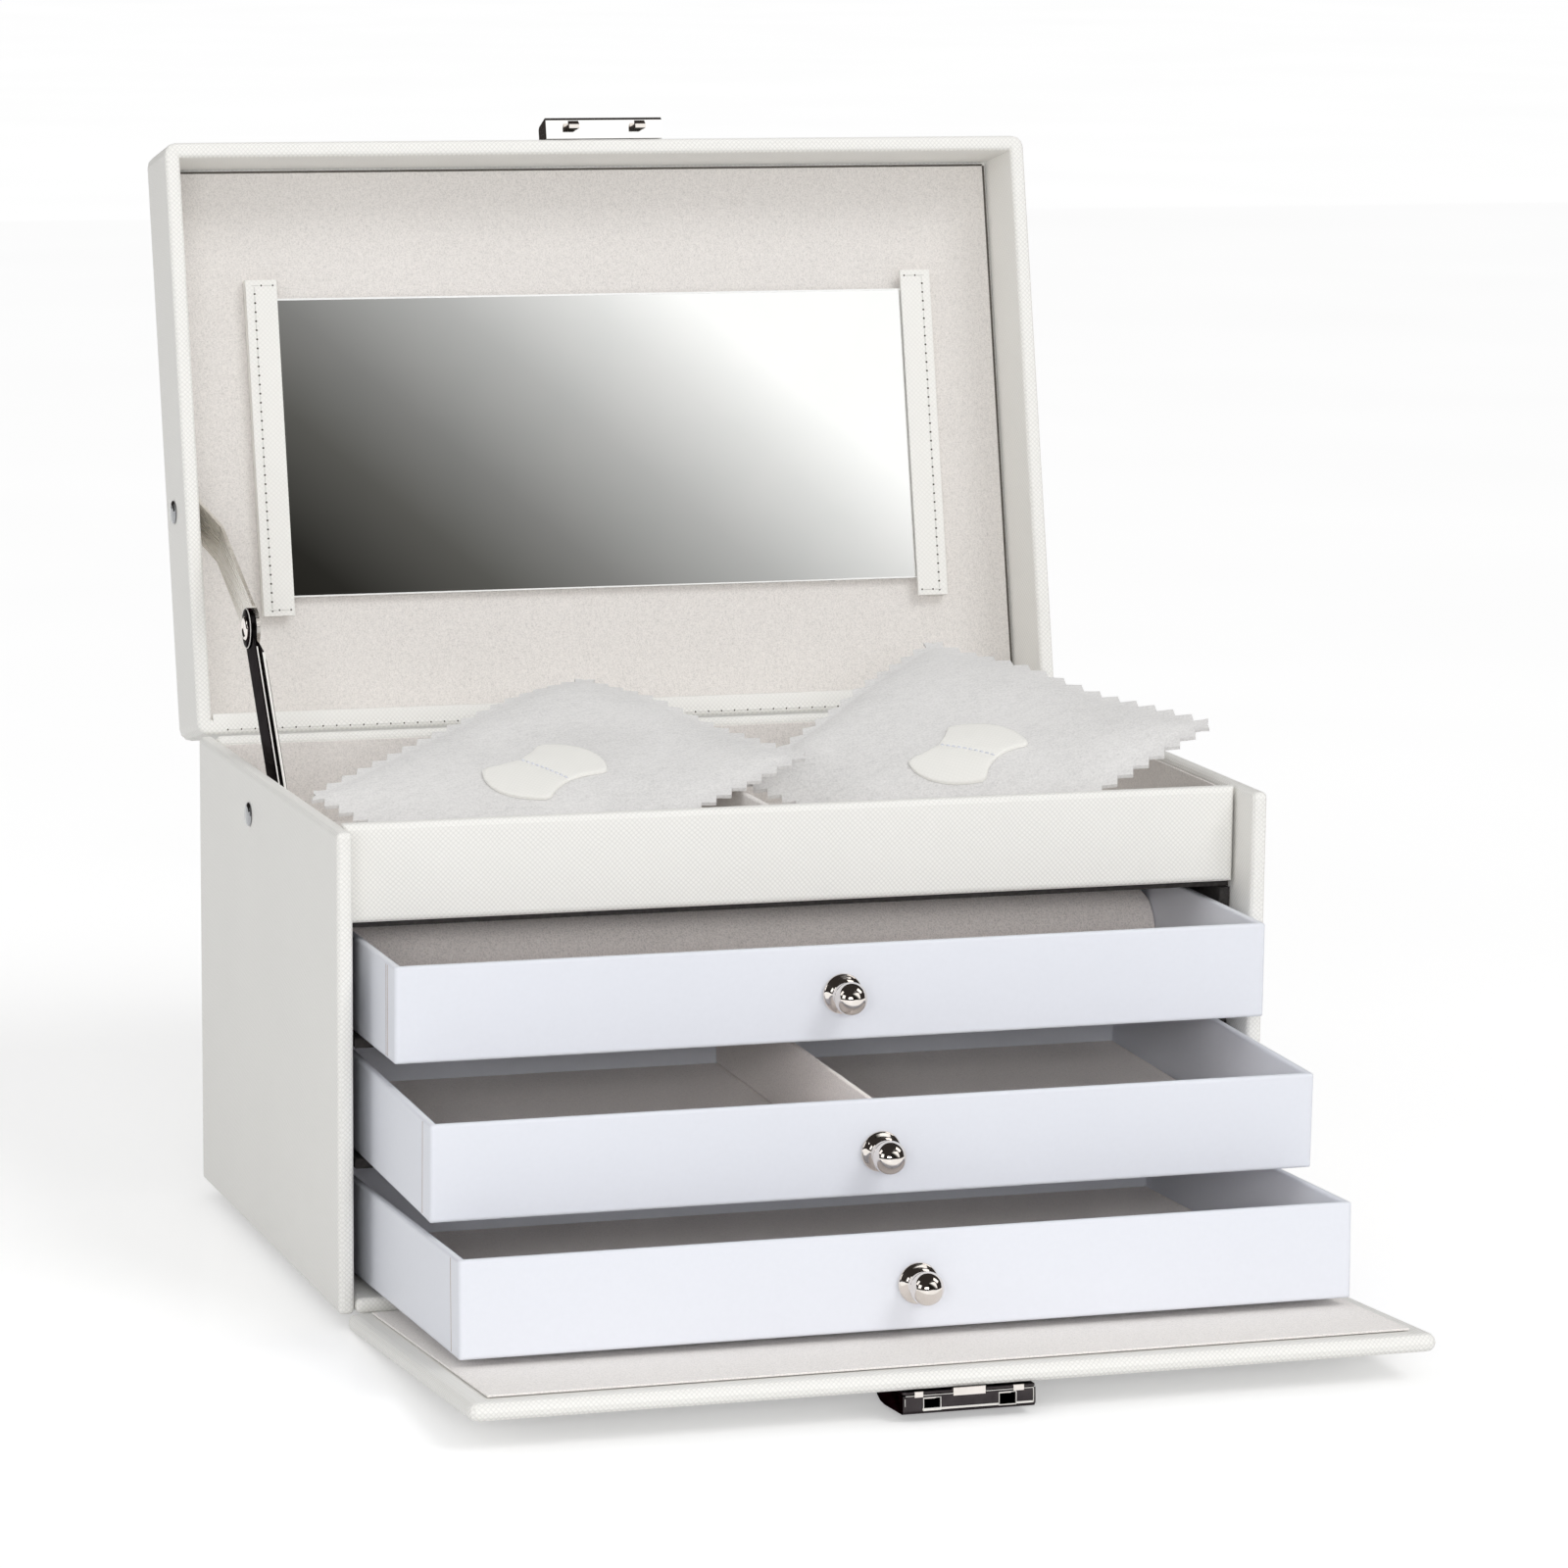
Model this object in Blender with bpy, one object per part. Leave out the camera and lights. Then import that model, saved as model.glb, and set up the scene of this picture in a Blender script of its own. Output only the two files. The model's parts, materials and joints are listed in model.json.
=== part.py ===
"""Jewelry case with a mirrored lid, a drop-down front flap and three drawers.

A standalone Blender 4.5 script in metres with +Z up, and the front of the case
faces -Y. The case stands open, as it is shown: the lid leans back on its
folding stay, the flap lies down on its lock, and the drawers are pulled out.
"""

import math

import bmesh
import bpy
from mathutils import Matrix, Vector

MM = 0.001
FIT_GAP = 0.3 * MM

# Case body
CASE_WIDTH = 270 * MM
CASE_DEPTH = 172 * MM
CASE_TOP = 138 * MM
FOOT_HEIGHT = 4 * MM
WALL = 4.5 * MM
WALL_EDGE = 1.6 * MM
BASE_THICKNESS = 4.4 * MM
FOOT_RADIUS = 8 * MM
FOOT_INSET = 20 * MM
FOOT_EDGE = 1 * MM

# The open case's box has its middle this far in front of the case's own middle
ORIGIN_SETBACK = 33.2 * MM

# Front band and the tray behind it
BAND_RECESS = 12 * MM
BAND_HEIGHT = 27.4 * MM
BAND_THICKNESS = 4.5 * MM
BAND_SIDE_GAP = 0.8 * MM
TRAY_BOARD = 2 * MM
TRAY_LINING = 0.8 * MM
TRAY_LINING_SHORT = 2 * MM
DIVIDER_X = -8 * MM
DIVIDER_THICKNESS = 2 * MM
DIVIDER_SHORT = 0.4 * MM

# Drawer bays
LINER_THICKNESS = 3 * MM
LINER_RECESS = 15.5 * MM
SHELF_RECESS = 14 * MM
SHELF_THICKNESS = 3 * MM
SHELF_TOPS = (78.4 * MM, 44.5 * MM)

# Drawers, from the top one down
DRAWER_SIDE_GAP = 1.95 * MM
DRAWER_LENGTH = 150 * MM
DRAWER_HEIGHT = 26.5 * MM
DRAWER_WALL = 2.2 * MM
DRAWER_FLOOR = 1.8 * MM
DRAWER_LINING = 0.8 * MM
DRAWER_PULLS = (24 * MM, 61 * MM, 91 * MM)
DRAWER_FRONT_BOTTOMS = (78.7 * MM, 43.6 * MM, 13.9 * MM)
DRAWER_TILTS = (0.0, math.radians(1.2), math.radians(-1.95))
DIVIDER_2_THICKNESS = 1.6 * MM
DIVIDER_2_SHORT = 2 * MM
CUSHION_START = 75 * MM
CUSHION_TOP = 19.5 * MM
CUSHION_CHANNEL = 8 * MM
CUSHION_ROLLS = 4
CUSHION_END_ROUND = 5 * MM
CUSHION_END_SHARE = 0.55
CUSHION_EDGE_SHARE = 0.25
CUSHION_FULLNESS = 0.6
KNOB_ASIDES = (0.7 * MM, -0.3 * MM, 0.6 * MM)
KNOB_DROPS = (0.2 * MM, 1 * MM, 0.8 * MM)
KNOB_STEM = 1.4 * MM
KNOB_WASHER = 3 * MM
KNOB_WASHER_THICKNESS = 0.8 * MM
KNOB_FLANGE = 5.7 * MM
KNOB_WAIST = 2.4 * MM
KNOB_HEAD = 4.6 * MM
KNOB_LENGTH = 12.4 * MM

# Lid
LID_LENGTH = 175.5 * MM
LID_DEPTH = 28.5 * MM
LID_BOARD = 4 * MM
LID_CORNER = 3.5 * MM
LID_EDGE = 2.6 * MM
LID_RIM_EDGE = 1.4 * MM
LID_OPEN = math.radians(102.8)
LID_LINING = 0.8 * MM
LID_LINING_GROOVE = 1.2 * MM
MIRROR_SIDE_GAP = 33 * MM
MIRROR_HEIGHT = 90 * MM
MIRROR_THICKNESS = 2 * MM
MIRROR_BEVEL = 0.5 * MM
MIRROR_FROM_HINGE = 41.6 * MM
STRAP_WIDTH = 9.5 * MM
STRAP_LAP = 3 * MM
STRAP_THICKNESS = 1.1 * MM
STRAP_OVERHANG = 5.5 * MM
HINGE_STRIP_WIDTH = 14 * MM
HINGE_STRIP_THICKNESS = 0.8 * MM
HINGE_STRIP_SHORT = 12 * MM

# Flap
FLAP_SIDE_GAP = 1.75 * MM
FLAP_LENGTH = 132.5 * MM
FLAP_THICKNESS = 5 * MM
FLAP_EDGE = 2.4 * MM
FLAP_CORNER = 3 * MM
FLAP_TILT = math.radians(3.76)
FLAP_LINING_BORDER = 6 * MM
FLAP_LINING = 0.6 * MM
FLAP_STRIP_LENGTH = 10 * MM
FLAP_STRIP = 0.6 * MM

# Lock on the flap and catch on the lid
LOCK_ASIDE = 0.8 * MM
LOCK_WIDTH = 36.5 * MM
LOCK_LENGTH = 22 * MM
LOCK_HEIGHT = 4.9 * MM
LOCK_BACK_ROUND = 7 * MM
LOCK_BACK_DROP = 3.2 * MM
LOCK_WALL = 0.9 * MM
LOCK_PLATE = 0.8 * MM
LOCK_EDGE_SETBACK = 0.6 * MM
STUD_SPACING = 20.8 * MM
WINDOW_WIDTH = 4.2 * MM
WINDOW_HEIGHT = 3.4 * MM
BOLT_WIDTH = 28 * MM
BOLT_THICKNESS = 1 * MM
BOLT_LENGTH = 4 * MM
CATCH_PROUD = 6.4 * MM
CATCH_BACK_PROUD = 4.8 * MM
CATCH_DEPTH = 8.4 * MM
CATCH_EDGE = 0.8 * MM
STUD_WIDTH = 3.2 * MM
STUD_LENGTH = 3.4 * MM
STUD_NECK = 1.2 * MM
STUD_HOOK = 2.4 * MM

# Folding stay on the left
STAY_BODY_PIVOT_REACH = 66.7 * MM
STAY_BODY_PIVOT_DROP = 12.3 * MM
STAY_LID_PIVOT_REACH = 67.6 * MM
STAY_LID_PIVOT_DEPTH = 15.6 * MM
STAY_LOWER_LENGTH = 60.3 * MM
STAY_UPPER_LENGTH = 66.4 * MM
STAY_THICKNESS = 1 * MM
STAY_LOWER_WALL_GAP = 2.8 * MM
STAY_JOG_START = 4 * MM
STAY_JOG_END = 19 * MM
STAY_EYE = 6 * MM
STAY_LOWER_HALF = 5 * MM
STAY_LID_EYE = 6.6 * MM
STAY_UPPER_HALF = 6.1 * MM
STAY_FLANGE = 1.8 * MM
STAY_FLANGE_START = 9 * MM
STAY_FLANGE_END = 17.5 * MM
RIVET_SHANK = 1.5 * MM
RIVET_HEAD = 3.5 * MM
RIVET_DOME = 0.8 * MM
RIVET_TAIL = 3 * MM
RIVET_TAIL_THICKNESS = 0.8 * MM

# Cloth pouches: corners in the order back, right, left and front, as shares of the
# tray's half width, half depth and full depth, from the middle of its floor
POUCH_LEFT_SHARES = (
    (-0.206, 0.591, 1.932),
    (0.116, -0.685, 1.479),
    (-0.985, -0.269, 0.905),
    (-0.603, -0.961, 0.040),
)
POUCH_RIGHT_SHARES = (
    (0.607, 0.484, 2.141),
    (0.998, -0.927, 1.635),
    (0.050, -0.383, 1.023),
    (0.402, -0.961, 0.040),
)
POUCH_HEM = 1 * MM
POUCH_PUFF = 1.6 * MM
POUCH_CROWN = 3 * MM
POUCH_FOLD = 1.2 * MM
TAB_WAIST = 11 * MM
TAB_REACH = 26.5 * MM
TAB_FULLNESS = 2.3
TAB_THICKNESS = 1 * MM
TAB_RING_SHARES = (0.05, 0.5, 1)

# Facets
ROUND_STEPS = 24
SMALL_ROUND_STEPS = 16
EDGE_STEPS = 3
CORNER_STEPS = 3
CUSHION_STEPS = 8
CUSHION_END_STEPS = 4
POUCH_STEPS = 14
TAB_STEPS = 28
SHARP_ANGLE = math.radians(35)
LEAST_CORNER = 0.05 * MM
OVERRUN = 2 * MM

# Places worked out from the sizes above
HALF_WIDTH = CASE_WIDTH / 2
HALF_DEPTH = CASE_DEPTH / 2
INNER_X = HALF_WIDTH - WALL
LINER_INNER = INNER_X - FIT_GAP - LINER_THICKNESS
DRAWER_WIDTH = 2 * (LINER_INNER - DRAWER_SIDE_GAP)
FLAP_WIDTH = CASE_WIDTH - 2 * FLAP_SIDE_GAP
MIRROR_WIDTH = CASE_WIDTH - 2 * MIRROR_SIDE_GAP
BAND_FACE_Y = BAND_RECESS - HALF_DEPTH
BAND_BACK_Y = BAND_FACE_Y + BAND_THICKNESS
BACK_INNER_Y = HALF_DEPTH - WALL
STAY_BODY_PIVOT_Y = HALF_DEPTH - STAY_BODY_PIVOT_REACH
BASE_TOP = FOOT_HEIGHT + BASE_THICKNESS
BAND_BOTTOM = CASE_TOP - BAND_HEIGHT
TRAY_BOARD_TOP = BAND_BOTTOM
TRAY_BOARD_BOTTOM = TRAY_BOARD_TOP - TRAY_BOARD
TRAY_FLOOR = TRAY_BOARD_TOP + FIT_GAP + TRAY_LINING
HINGE = Vector((0, HALF_DEPTH, CASE_TOP + FIT_GAP))
FLAP_PIVOT = Vector((0, -HALF_DEPTH - FIT_GAP - FLAP_THICKNESS / 2, FLAP_THICKNESS / 2))
LID_INNER = LID_DEPTH - LID_BOARD
LID_LINING_FACE = LID_INNER - FIT_GAP - LID_LINING


def clear_scene():
    for old in list(bpy.data.objects):
        bpy.data.objects.remove(old, do_unlink=True)


def material(name, colour, metallic, roughness):
    made = bpy.data.materials.new(name)
    made.use_nodes = True
    shader = made.node_tree.nodes["Principled BSDF"]
    shader.inputs["Base Color"].default_value = (*colour, 1.0)
    shader.inputs["Metallic"].default_value = metallic
    shader.inputs["Roughness"].default_value = roughness
    made.diffuse_color = (*colour, 1.0)
    return made


def frame(name, place, turn_x=0.0, parent=None):
    """An empty on a joint's axis, which the moving pieces hang from."""
    empty = bpy.data.objects.new(name, None)
    empty.location = place
    empty.rotation_euler = (turn_x, 0.0, 0.0)
    empty.parent = parent
    bpy.context.scene.collection.objects.link(empty)
    return empty


def finish(name, shape, finish_material, parent=None, smooth=True):
    """Turns a bmesh into a named object whose faces point outwards."""
    bmesh.ops.recalc_face_normals(shape, faces=shape.faces)
    mesh = bpy.data.meshes.new(name)
    shape.to_mesh(mesh)
    shape.free()
    if smooth:
        mesh.shade_smooth()
        mesh.set_sharp_from_angle(angle=SHARP_ANGLE)
    made = bpy.data.objects.new(name, mesh)
    made.data.materials.append(finish_material)
    made.parent = parent
    bpy.context.scene.collection.objects.link(made)
    return made


def cut(target, cutter):
    """Cuts the cutter out of the target with an exact Boolean."""
    cutter.hide_render = True
    cutter.display_type = "WIRE"
    cutter.parent = target.parent
    modifier = target.modifiers.new("cut " + cutter.name, "BOOLEAN")
    modifier.operation = "DIFFERENCE"
    modifier.solver = "EXACT"
    modifier.object = cutter


def loft(rings):
    """One closed bmesh skin over rings of equal point count, capped at both ends."""
    shape = bmesh.new()
    rows = [[shape.verts.new(point) for point in ring] for ring in rings]
    count = len(rows[0])
    shape.faces.new(rows[0])
    shape.faces.new(rows[-1])
    for low, high in zip(rows, rows[1:]):
        for i in range(count):
            j = (i + 1) % count
            shape.faces.new((low[i], low[j], high[j], high[i]))
    return shape


def turn_to(axis, point):
    """Carries a point from the flat frame to one whose thickness runs along the axis."""
    a, b, c = point
    return {"x": (c, a, b), "y": (b, c, a), "z": (a, b, c)}[axis]


def flat_from(axis, point):
    x, y, z = point
    return {"x": (y, z, x), "y": (z, x, y), "z": (x, y, z)}[axis]


def rounded_ring(centre, half_a, half_b, corner, level, steps=CORNER_STEPS):
    """Points round a rectangle with rounded corners, at one level."""
    corner = max(corner, LEAST_CORNER)
    points = []
    for quarter in range(4):
        side_a = 1 if quarter in (0, 3) else -1
        side_b = 1 if quarter in (0, 1) else -1
        for step in range(steps + 1):
            angle = (quarter + step / steps) * math.pi / 2
            a = centre[0] + side_a * (half_a - corner) + corner * math.cos(angle)
            b = centre[1] + side_b * (half_b - corner) + corner * math.sin(angle)
            points.append((a, b, level))
    return points


def board(name, low, high, axis, finish_material, edge, corner, parent=None):
    """A board with rounded edges, whose thickness runs along the axis."""
    low = flat_from(axis, low)
    high = flat_from(axis, high)
    centre = ((low[0] + high[0]) / 2, (low[1] + high[1]) / 2)
    half_a = (high[0] - low[0]) / 2
    half_b = (high[1] - low[1]) / 2
    rings = []
    for end, way in ((low[2], 1), (high[2], -1)):
        steps = range(EDGE_STEPS + 1)
        for step in steps if way == 1 else reversed(steps):
            angle = step / EDGE_STEPS * math.pi / 2
            inset = edge * (1 - math.sin(angle))
            level = end + way * edge * (1 - math.cos(angle))
            rings.append(rounded_ring(centre, half_a - inset, half_b - inset, corner - inset, level))
    rings = [[turn_to(axis, point) for point in ring] for ring in rings]
    return finish(name, loft(rings), finish_material, parent)


def open_box(name, low, high, wall, floor, finish_material, parent, corner, edge, rim, turned_over=False):
    """A box without its top: rounded rings up the outside, over the rim and down inside."""
    centre = ((low[0] + high[0]) / 2, (low[1] + high[1]) / 2)
    half_a = (high[0] - low[0]) / 2
    half_b = (high[1] - low[1]) / 2
    bottom, top = low[2], high[2]
    profile = []
    for step in range(EDGE_STEPS + 1):
        angle = step / EDGE_STEPS * math.pi / 2
        profile.append((edge * (1 - math.sin(angle)), bottom + edge * (1 - math.cos(angle))))
    for step in range(EDGE_STEPS + 1):
        angle = step / EDGE_STEPS * math.pi / 2
        profile.append((rim * (1 - math.cos(angle)), top - rim * (1 - math.sin(angle))))
    for step in range(EDGE_STEPS + 1):
        angle = step / EDGE_STEPS * math.pi / 2
        profile.append((wall - rim * (1 - math.sin(angle)), top - rim * (1 - math.cos(angle))))
    profile.append((wall, bottom + floor))
    rings = []
    for inset, level in profile:
        if turned_over:
            level = bottom + top - level
        rings.append(rounded_ring(centre, half_a - inset, half_b - inset, corner - inset, level))
    return finish(name, loft(rings), finish_material, parent)


def prism(name, outline, start, end, axis, finish_material, parent=None):
    """An outline in the axis's flat frame, extruded along the axis."""
    rings = [[turn_to(axis, (a, b, level)) for a, b in outline] for level in (start, end)]
    return finish(name, loft(rings), finish_material, parent)


def turned_shape(profile, axis, centre, steps):
    """Spins a profile of (radius, level) points about a line along the axis."""
    rings = []
    middle = flat_from(axis, centre)
    for radius, level in profile:
        ring = []
        for step in range(steps):
            angle = step / steps * math.tau
            a = middle[0] + radius * math.cos(angle)
            b = middle[1] + radius * math.sin(angle)
            ring.append(turn_to(axis, (a, b, middle[2] + level)))
        rings.append(ring)
    return loft(rings)


def turned(name, profile, axis, centre, finish_material, parent=None, steps=ROUND_STEPS):
    return finish(name, turned_shape(profile, axis, centre, steps), finish_material, parent)


def drill(target, name, radius, start, end, axis, centre):
    """Bores a round hole through the target along the axis."""
    profile = ((radius, start), (radius, end))
    cutter = turned(name, profile, axis, centre, target.data.materials[0], steps=SMALL_ROUND_STEPS)
    cut(target, cutter)


def arc(centre, radius, start, end, steps):
    points = []
    for step in range(steps + 1):
        angle = start + (end - start) * step / steps
        points.append((centre[0] + radius * math.cos(angle), centre[1] + radius * math.sin(angle)))
    return points


def dome(radius, height, start, way, steps=4):
    """A rivet's dome as (radius, level) points, from its rim towards its top."""
    return [
        (
            max(radius * math.cos(step / steps * math.pi / 2), LEAST_CORNER),
            start + way * height * math.sin(step / steps * math.pi / 2),
        )
        for step in range(steps + 1)
    ]


def make_materials():
    return {
        "leatherette": material("leatherette", (0.80, 0.79, 0.75), 0.0, 0.50),
        "flock": material("flock", (0.66, 0.62, 0.59), 0.0, 0.95),
        "paper": material("drawer_paper", (0.86, 0.88, 0.93), 0.0, 0.45),
        "black": material("black_card", (0.02, 0.02, 0.02), 0.0, 0.80),
        "nickel": material("nickel", (0.74, 0.71, 0.68), 1.0, 0.15),
        "chrome": material("dark_chrome", (0.35, 0.34, 0.34), 1.0, 0.12),
        "mirror": material("mirror", (0.90, 0.90, 0.90), 1.0, 0.02),
        "pouch": material("pouch_cloth", (0.62, 0.62, 0.61), 0.0, 0.95),
        "foot": material("foot_rubber", (0.05, 0.05, 0.05), 0.0, 0.70),
    }


def case_body(mats):
    """Walls, base, front band and feet."""
    leather = mats["leatherette"]
    for name, side in (("left_wall", -1), ("right_wall", 1)):
        inner, outer = sorted((side * INNER_X, side * HALF_WIDTH))
        low = (inner, -HALF_DEPTH, FOOT_HEIGHT)
        high = (outer, HALF_DEPTH, CASE_TOP)
        wall = board(name, low, high, "x", leather, WALL_EDGE, WALL_EDGE)
        if side == -1:
            centre = (-HALF_WIDTH, STAY_BODY_PIVOT_Y, CASE_TOP - STAY_BODY_PIVOT_DROP)
            drill(wall, "rivet_hole", RIVET_SHANK + FIT_GAP, -OVERRUN, WALL + OVERRUN, "x", centre)
    inside = INNER_X - FIT_GAP
    low = (-inside, BACK_INNER_Y, FOOT_HEIGHT)
    board("back_wall", low, (inside, HALF_DEPTH, CASE_TOP), "y", leather, WALL_EDGE, WALL_EDGE)
    high = (inside, BACK_INNER_Y - FIT_GAP, BASE_TOP)
    board("base_panel", (-inside, -HALF_DEPTH, FOOT_HEIGHT), high, "z", leather, WALL_EDGE, WALL_EDGE)
    low = (-inside, BAND_FACE_Y, BAND_BOTTOM)
    high = (INNER_X - BAND_SIDE_GAP, BAND_BACK_Y, CASE_TOP)
    board("front_band", low, high, "y", leather, WALL_EDGE, LEAST_CORNER)
    strip_half = FLAP_WIDTH / 2 - FLAP_LINING_BORDER
    low = (-strip_half, -HALF_DEPTH, FOOT_HEIGHT - FIT_GAP - FLAP_STRIP)
    high = (strip_half, FLAP_STRIP_LENGTH - HALF_DEPTH, FOOT_HEIGHT - FIT_GAP)
    board("flap_hinge_strip", low, high, "z", leather, FLAP_STRIP / 3, LEAST_CORNER)
    profile = (
        (FOOT_RADIUS - FOOT_EDGE, 0),
        (FOOT_RADIUS, FOOT_EDGE),
        (FOOT_RADIUS, FOOT_HEIGHT - FIT_GAP),
    )
    foot_x = HALF_WIDTH - FOOT_INSET
    foot_y = HALF_DEPTH - FOOT_INSET
    places = (("front_left", -1, -1), ("front_right", 1, -1), ("rear_left", -1, 1), ("rear_right", 1, 1))
    for name, side, end in places:
        turned("foot_" + name, profile, "z", (side * foot_x, end * foot_y, 0), mats["foot"])


def tray_and_bays(mats):
    """The top tray with its lining and divider, and the black drawer bays below it."""
    inside = INNER_X - FIT_GAP
    front = BAND_BACK_Y + FIT_GAP
    back = BACK_INNER_Y - FIT_GAP
    low = (-inside, front, TRAY_BOARD_BOTTOM)
    high = (inside, back, TRAY_BOARD_TOP)
    board("tray_board", low, high, "z", mats["black"], LEAST_CORNER, LEAST_CORNER)
    low = (-inside, front, TRAY_BOARD_TOP + FIT_GAP)
    high = (inside, back, CASE_TOP - TRAY_LINING_SHORT)
    lining = open_box(
        "tray_lining", low, high, TRAY_LINING, TRAY_LINING, mats["flock"], None,
        TRAY_LINING, LEAST_CORNER, TRAY_LINING / 3,
    )
    centre = (-HALF_WIDTH, STAY_BODY_PIVOT_Y, CASE_TOP - STAY_BODY_PIVOT_DROP)
    drill(lining, "lining_hole", RIVET_SHANK + FIT_GAP, 0, 2 * WALL, "x", centre)
    low = (DIVIDER_X - DIVIDER_THICKNESS / 2, front + TRAY_LINING + FIT_GAP, TRAY_FLOOR + FIT_GAP)
    high = (DIVIDER_X + DIVIDER_THICKNESS / 2, back - TRAY_LINING - FIT_GAP, CASE_TOP - DIVIDER_SHORT)
    board("tray_divider", low, high, "x", mats["flock"], DIVIDER_THICKNESS / 4, LEAST_CORNER)
    for name, side in (("bay_liner_left", -1), ("bay_liner_right", 1)):
        inner, outer = sorted((side * LINER_INNER, side * inside))
        low = (inner, LINER_RECESS - HALF_DEPTH, BASE_TOP + FIT_GAP)
        high = (outer, back, TRAY_BOARD_BOTTOM - FIT_GAP)
        board(name, low, high, "x", mats["black"], LEAST_CORNER, LEAST_CORNER)
    shelf_half = LINER_INNER - FIT_GAP
    for name, top in zip(("shelf_upper", "shelf_lower"), SHELF_TOPS):
        low = (-shelf_half, SHELF_RECESS - HALF_DEPTH, top - SHELF_THICKNESS)
        high = (shelf_half, back, top)
        board(name, low, high, "z", mats["black"], SHELF_THICKNESS / 4, LEAST_CORNER)


def knob(name, centre, mats, parent):
    """A turned knob riveted through the drawer's front, from its inner washer outwards."""
    washer = DRAWER_WALL + FIT_GAP
    waist = KNOB_WAIST
    head_centre = KNOB_LENGTH - KNOB_HEAD
    profile = [
        (KNOB_WASHER, washer + KNOB_WASHER_THICKNESS),
        (KNOB_WASHER, washer),
        (KNOB_STEM, washer),
        (KNOB_STEM, -FIT_GAP),
        (KNOB_FLANGE - KNOB_STEM / 2, -FIT_GAP),
        (KNOB_FLANGE, -FIT_GAP - KNOB_STEM / 2),
        (KNOB_FLANGE - KNOB_STEM / 2, -FIT_GAP - KNOB_STEM),
        (waist + KNOB_STEM / 2, -KNOB_STEM - waist / 2),
        (waist, -KNOB_STEM - waist),
        (waist + KNOB_STEM / 2, KNOB_HEAD / 2 - head_centre),
        (KNOB_HEAD, -head_centre + KNOB_HEAD / 6),
    ]
    profile += dome(KNOB_HEAD, KNOB_HEAD, -head_centre, -1, steps=5)[1:]
    turned(name, profile, "y", centre, mats["nickel"], parent, steps=ROUND_STEPS)


def ring_cushion(mats, parent):
    """Four padded rolls side by side, drawn in at both ends."""
    wall = DRAWER_WALL + FIT_GAP
    start = CUSHION_START
    end = DRAWER_LENGTH - wall
    bottom = DRAWER_FLOOR + DRAWER_LINING + 2 * FIT_GAP
    pitch = (end - start) / CUSHION_ROLLS
    crest = CUSHION_TOP - bottom
    channel = CUSHION_CHANNEL - bottom
    outline = [(end - pitch / 8, 0), (start + pitch / 8, 0)]
    for roll in range(CUSHION_ROLLS):
        first = 0 if roll == 0 else 1
        for step in range(first, CUSHION_STEPS + 1):
            share = step / CUSHION_STEPS
            at_edge = (roll, step) in ((0, 0), (CUSHION_ROLLS - 1, CUSHION_STEPS))
            low = CUSHION_EDGE_SHARE * channel if at_edge else channel
            height = low + (crest - low) * math.sin(share * math.pi) ** CUSHION_FULLNESS
            outline.append((start + (roll + share) * pitch, height))
    half = DRAWER_WIDTH / 2 - wall
    rings = []
    for side in (-1, 1):
        order = range(CUSHION_END_STEPS + 1)
        for step in order if side == -1 else reversed(order):
            angle = step / CUSHION_END_STEPS * math.pi / 2
            swell = CUSHION_END_SHARE + (1 - CUSHION_END_SHARE) * math.sin(angle)
            x = side * (half - CUSHION_END_ROUND * math.sin(angle))
            rings.append([(x, y, bottom + height * swell) for y, height in outline])
    return finish("drawer_1_ring_cushion", loft(rings), mats["flock"], parent)


def drawers(mats):
    """Three drawers, each in its own frame at the middle of its front's lower edge."""
    half = DRAWER_WIDTH / 2
    inner = half - DRAWER_WALL - FIT_GAP
    places = zip(DRAWER_PULLS, DRAWER_FRONT_BOTTOMS, DRAWER_TILTS)
    for number, (pull, bottom, tilt) in enumerate(places, start=1):
        parent = frame(f"drawer_{number}_slide", (0, -HALF_DEPTH - pull, bottom), tilt)
        low = (-half, 0, 0)
        high = (half, DRAWER_LENGTH, DRAWER_HEIGHT)
        tray = open_box(
            f"drawer_{number}_tray", low, high, DRAWER_WALL, DRAWER_FLOOR, mats["paper"], parent,
            DRAWER_WALL / 3, DRAWER_WALL / 4, DRAWER_WALL / 4,
        )
        centre = (KNOB_ASIDES[number - 1], 0, DRAWER_HEIGHT / 2 - KNOB_DROPS[number - 1])
        drill(tray, f"knob_hole_{number}", KNOB_STEM + FIT_GAP, -OVERRUN, DRAWER_WALL + OVERRUN, "y", centre)
        lining_low = DRAWER_FLOOR + FIT_GAP
        low = (-inner, DRAWER_WALL + FIT_GAP, lining_low)
        high = (inner, DRAWER_LENGTH - DRAWER_WALL - FIT_GAP, lining_low + DRAWER_LINING)
        board(f"drawer_{number}_lining", low, high, "z", mats["flock"], LEAST_CORNER, LEAST_CORNER, parent)
        knob(f"drawer_{number}_knob", centre, mats, parent)
        if number == 1:
            ring_cushion(mats, parent)
        if number == 2:
            start = lining_low + DRAWER_LINING + FIT_GAP
            low = (-DIVIDER_2_THICKNESS / 2, DRAWER_WALL + 2 * FIT_GAP + KNOB_WASHER_THICKNESS, start)
            high = (
                DIVIDER_2_THICKNESS / 2,
                DRAWER_LENGTH - DRAWER_WALL - FIT_GAP,
                DRAWER_HEIGHT - DIVIDER_2_SHORT,
            )
            edge = DIVIDER_2_THICKNESS / 4
            board("drawer_2_divider", low, high, "x", mats["flock"], edge, LEAST_CORNER, parent)


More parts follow.
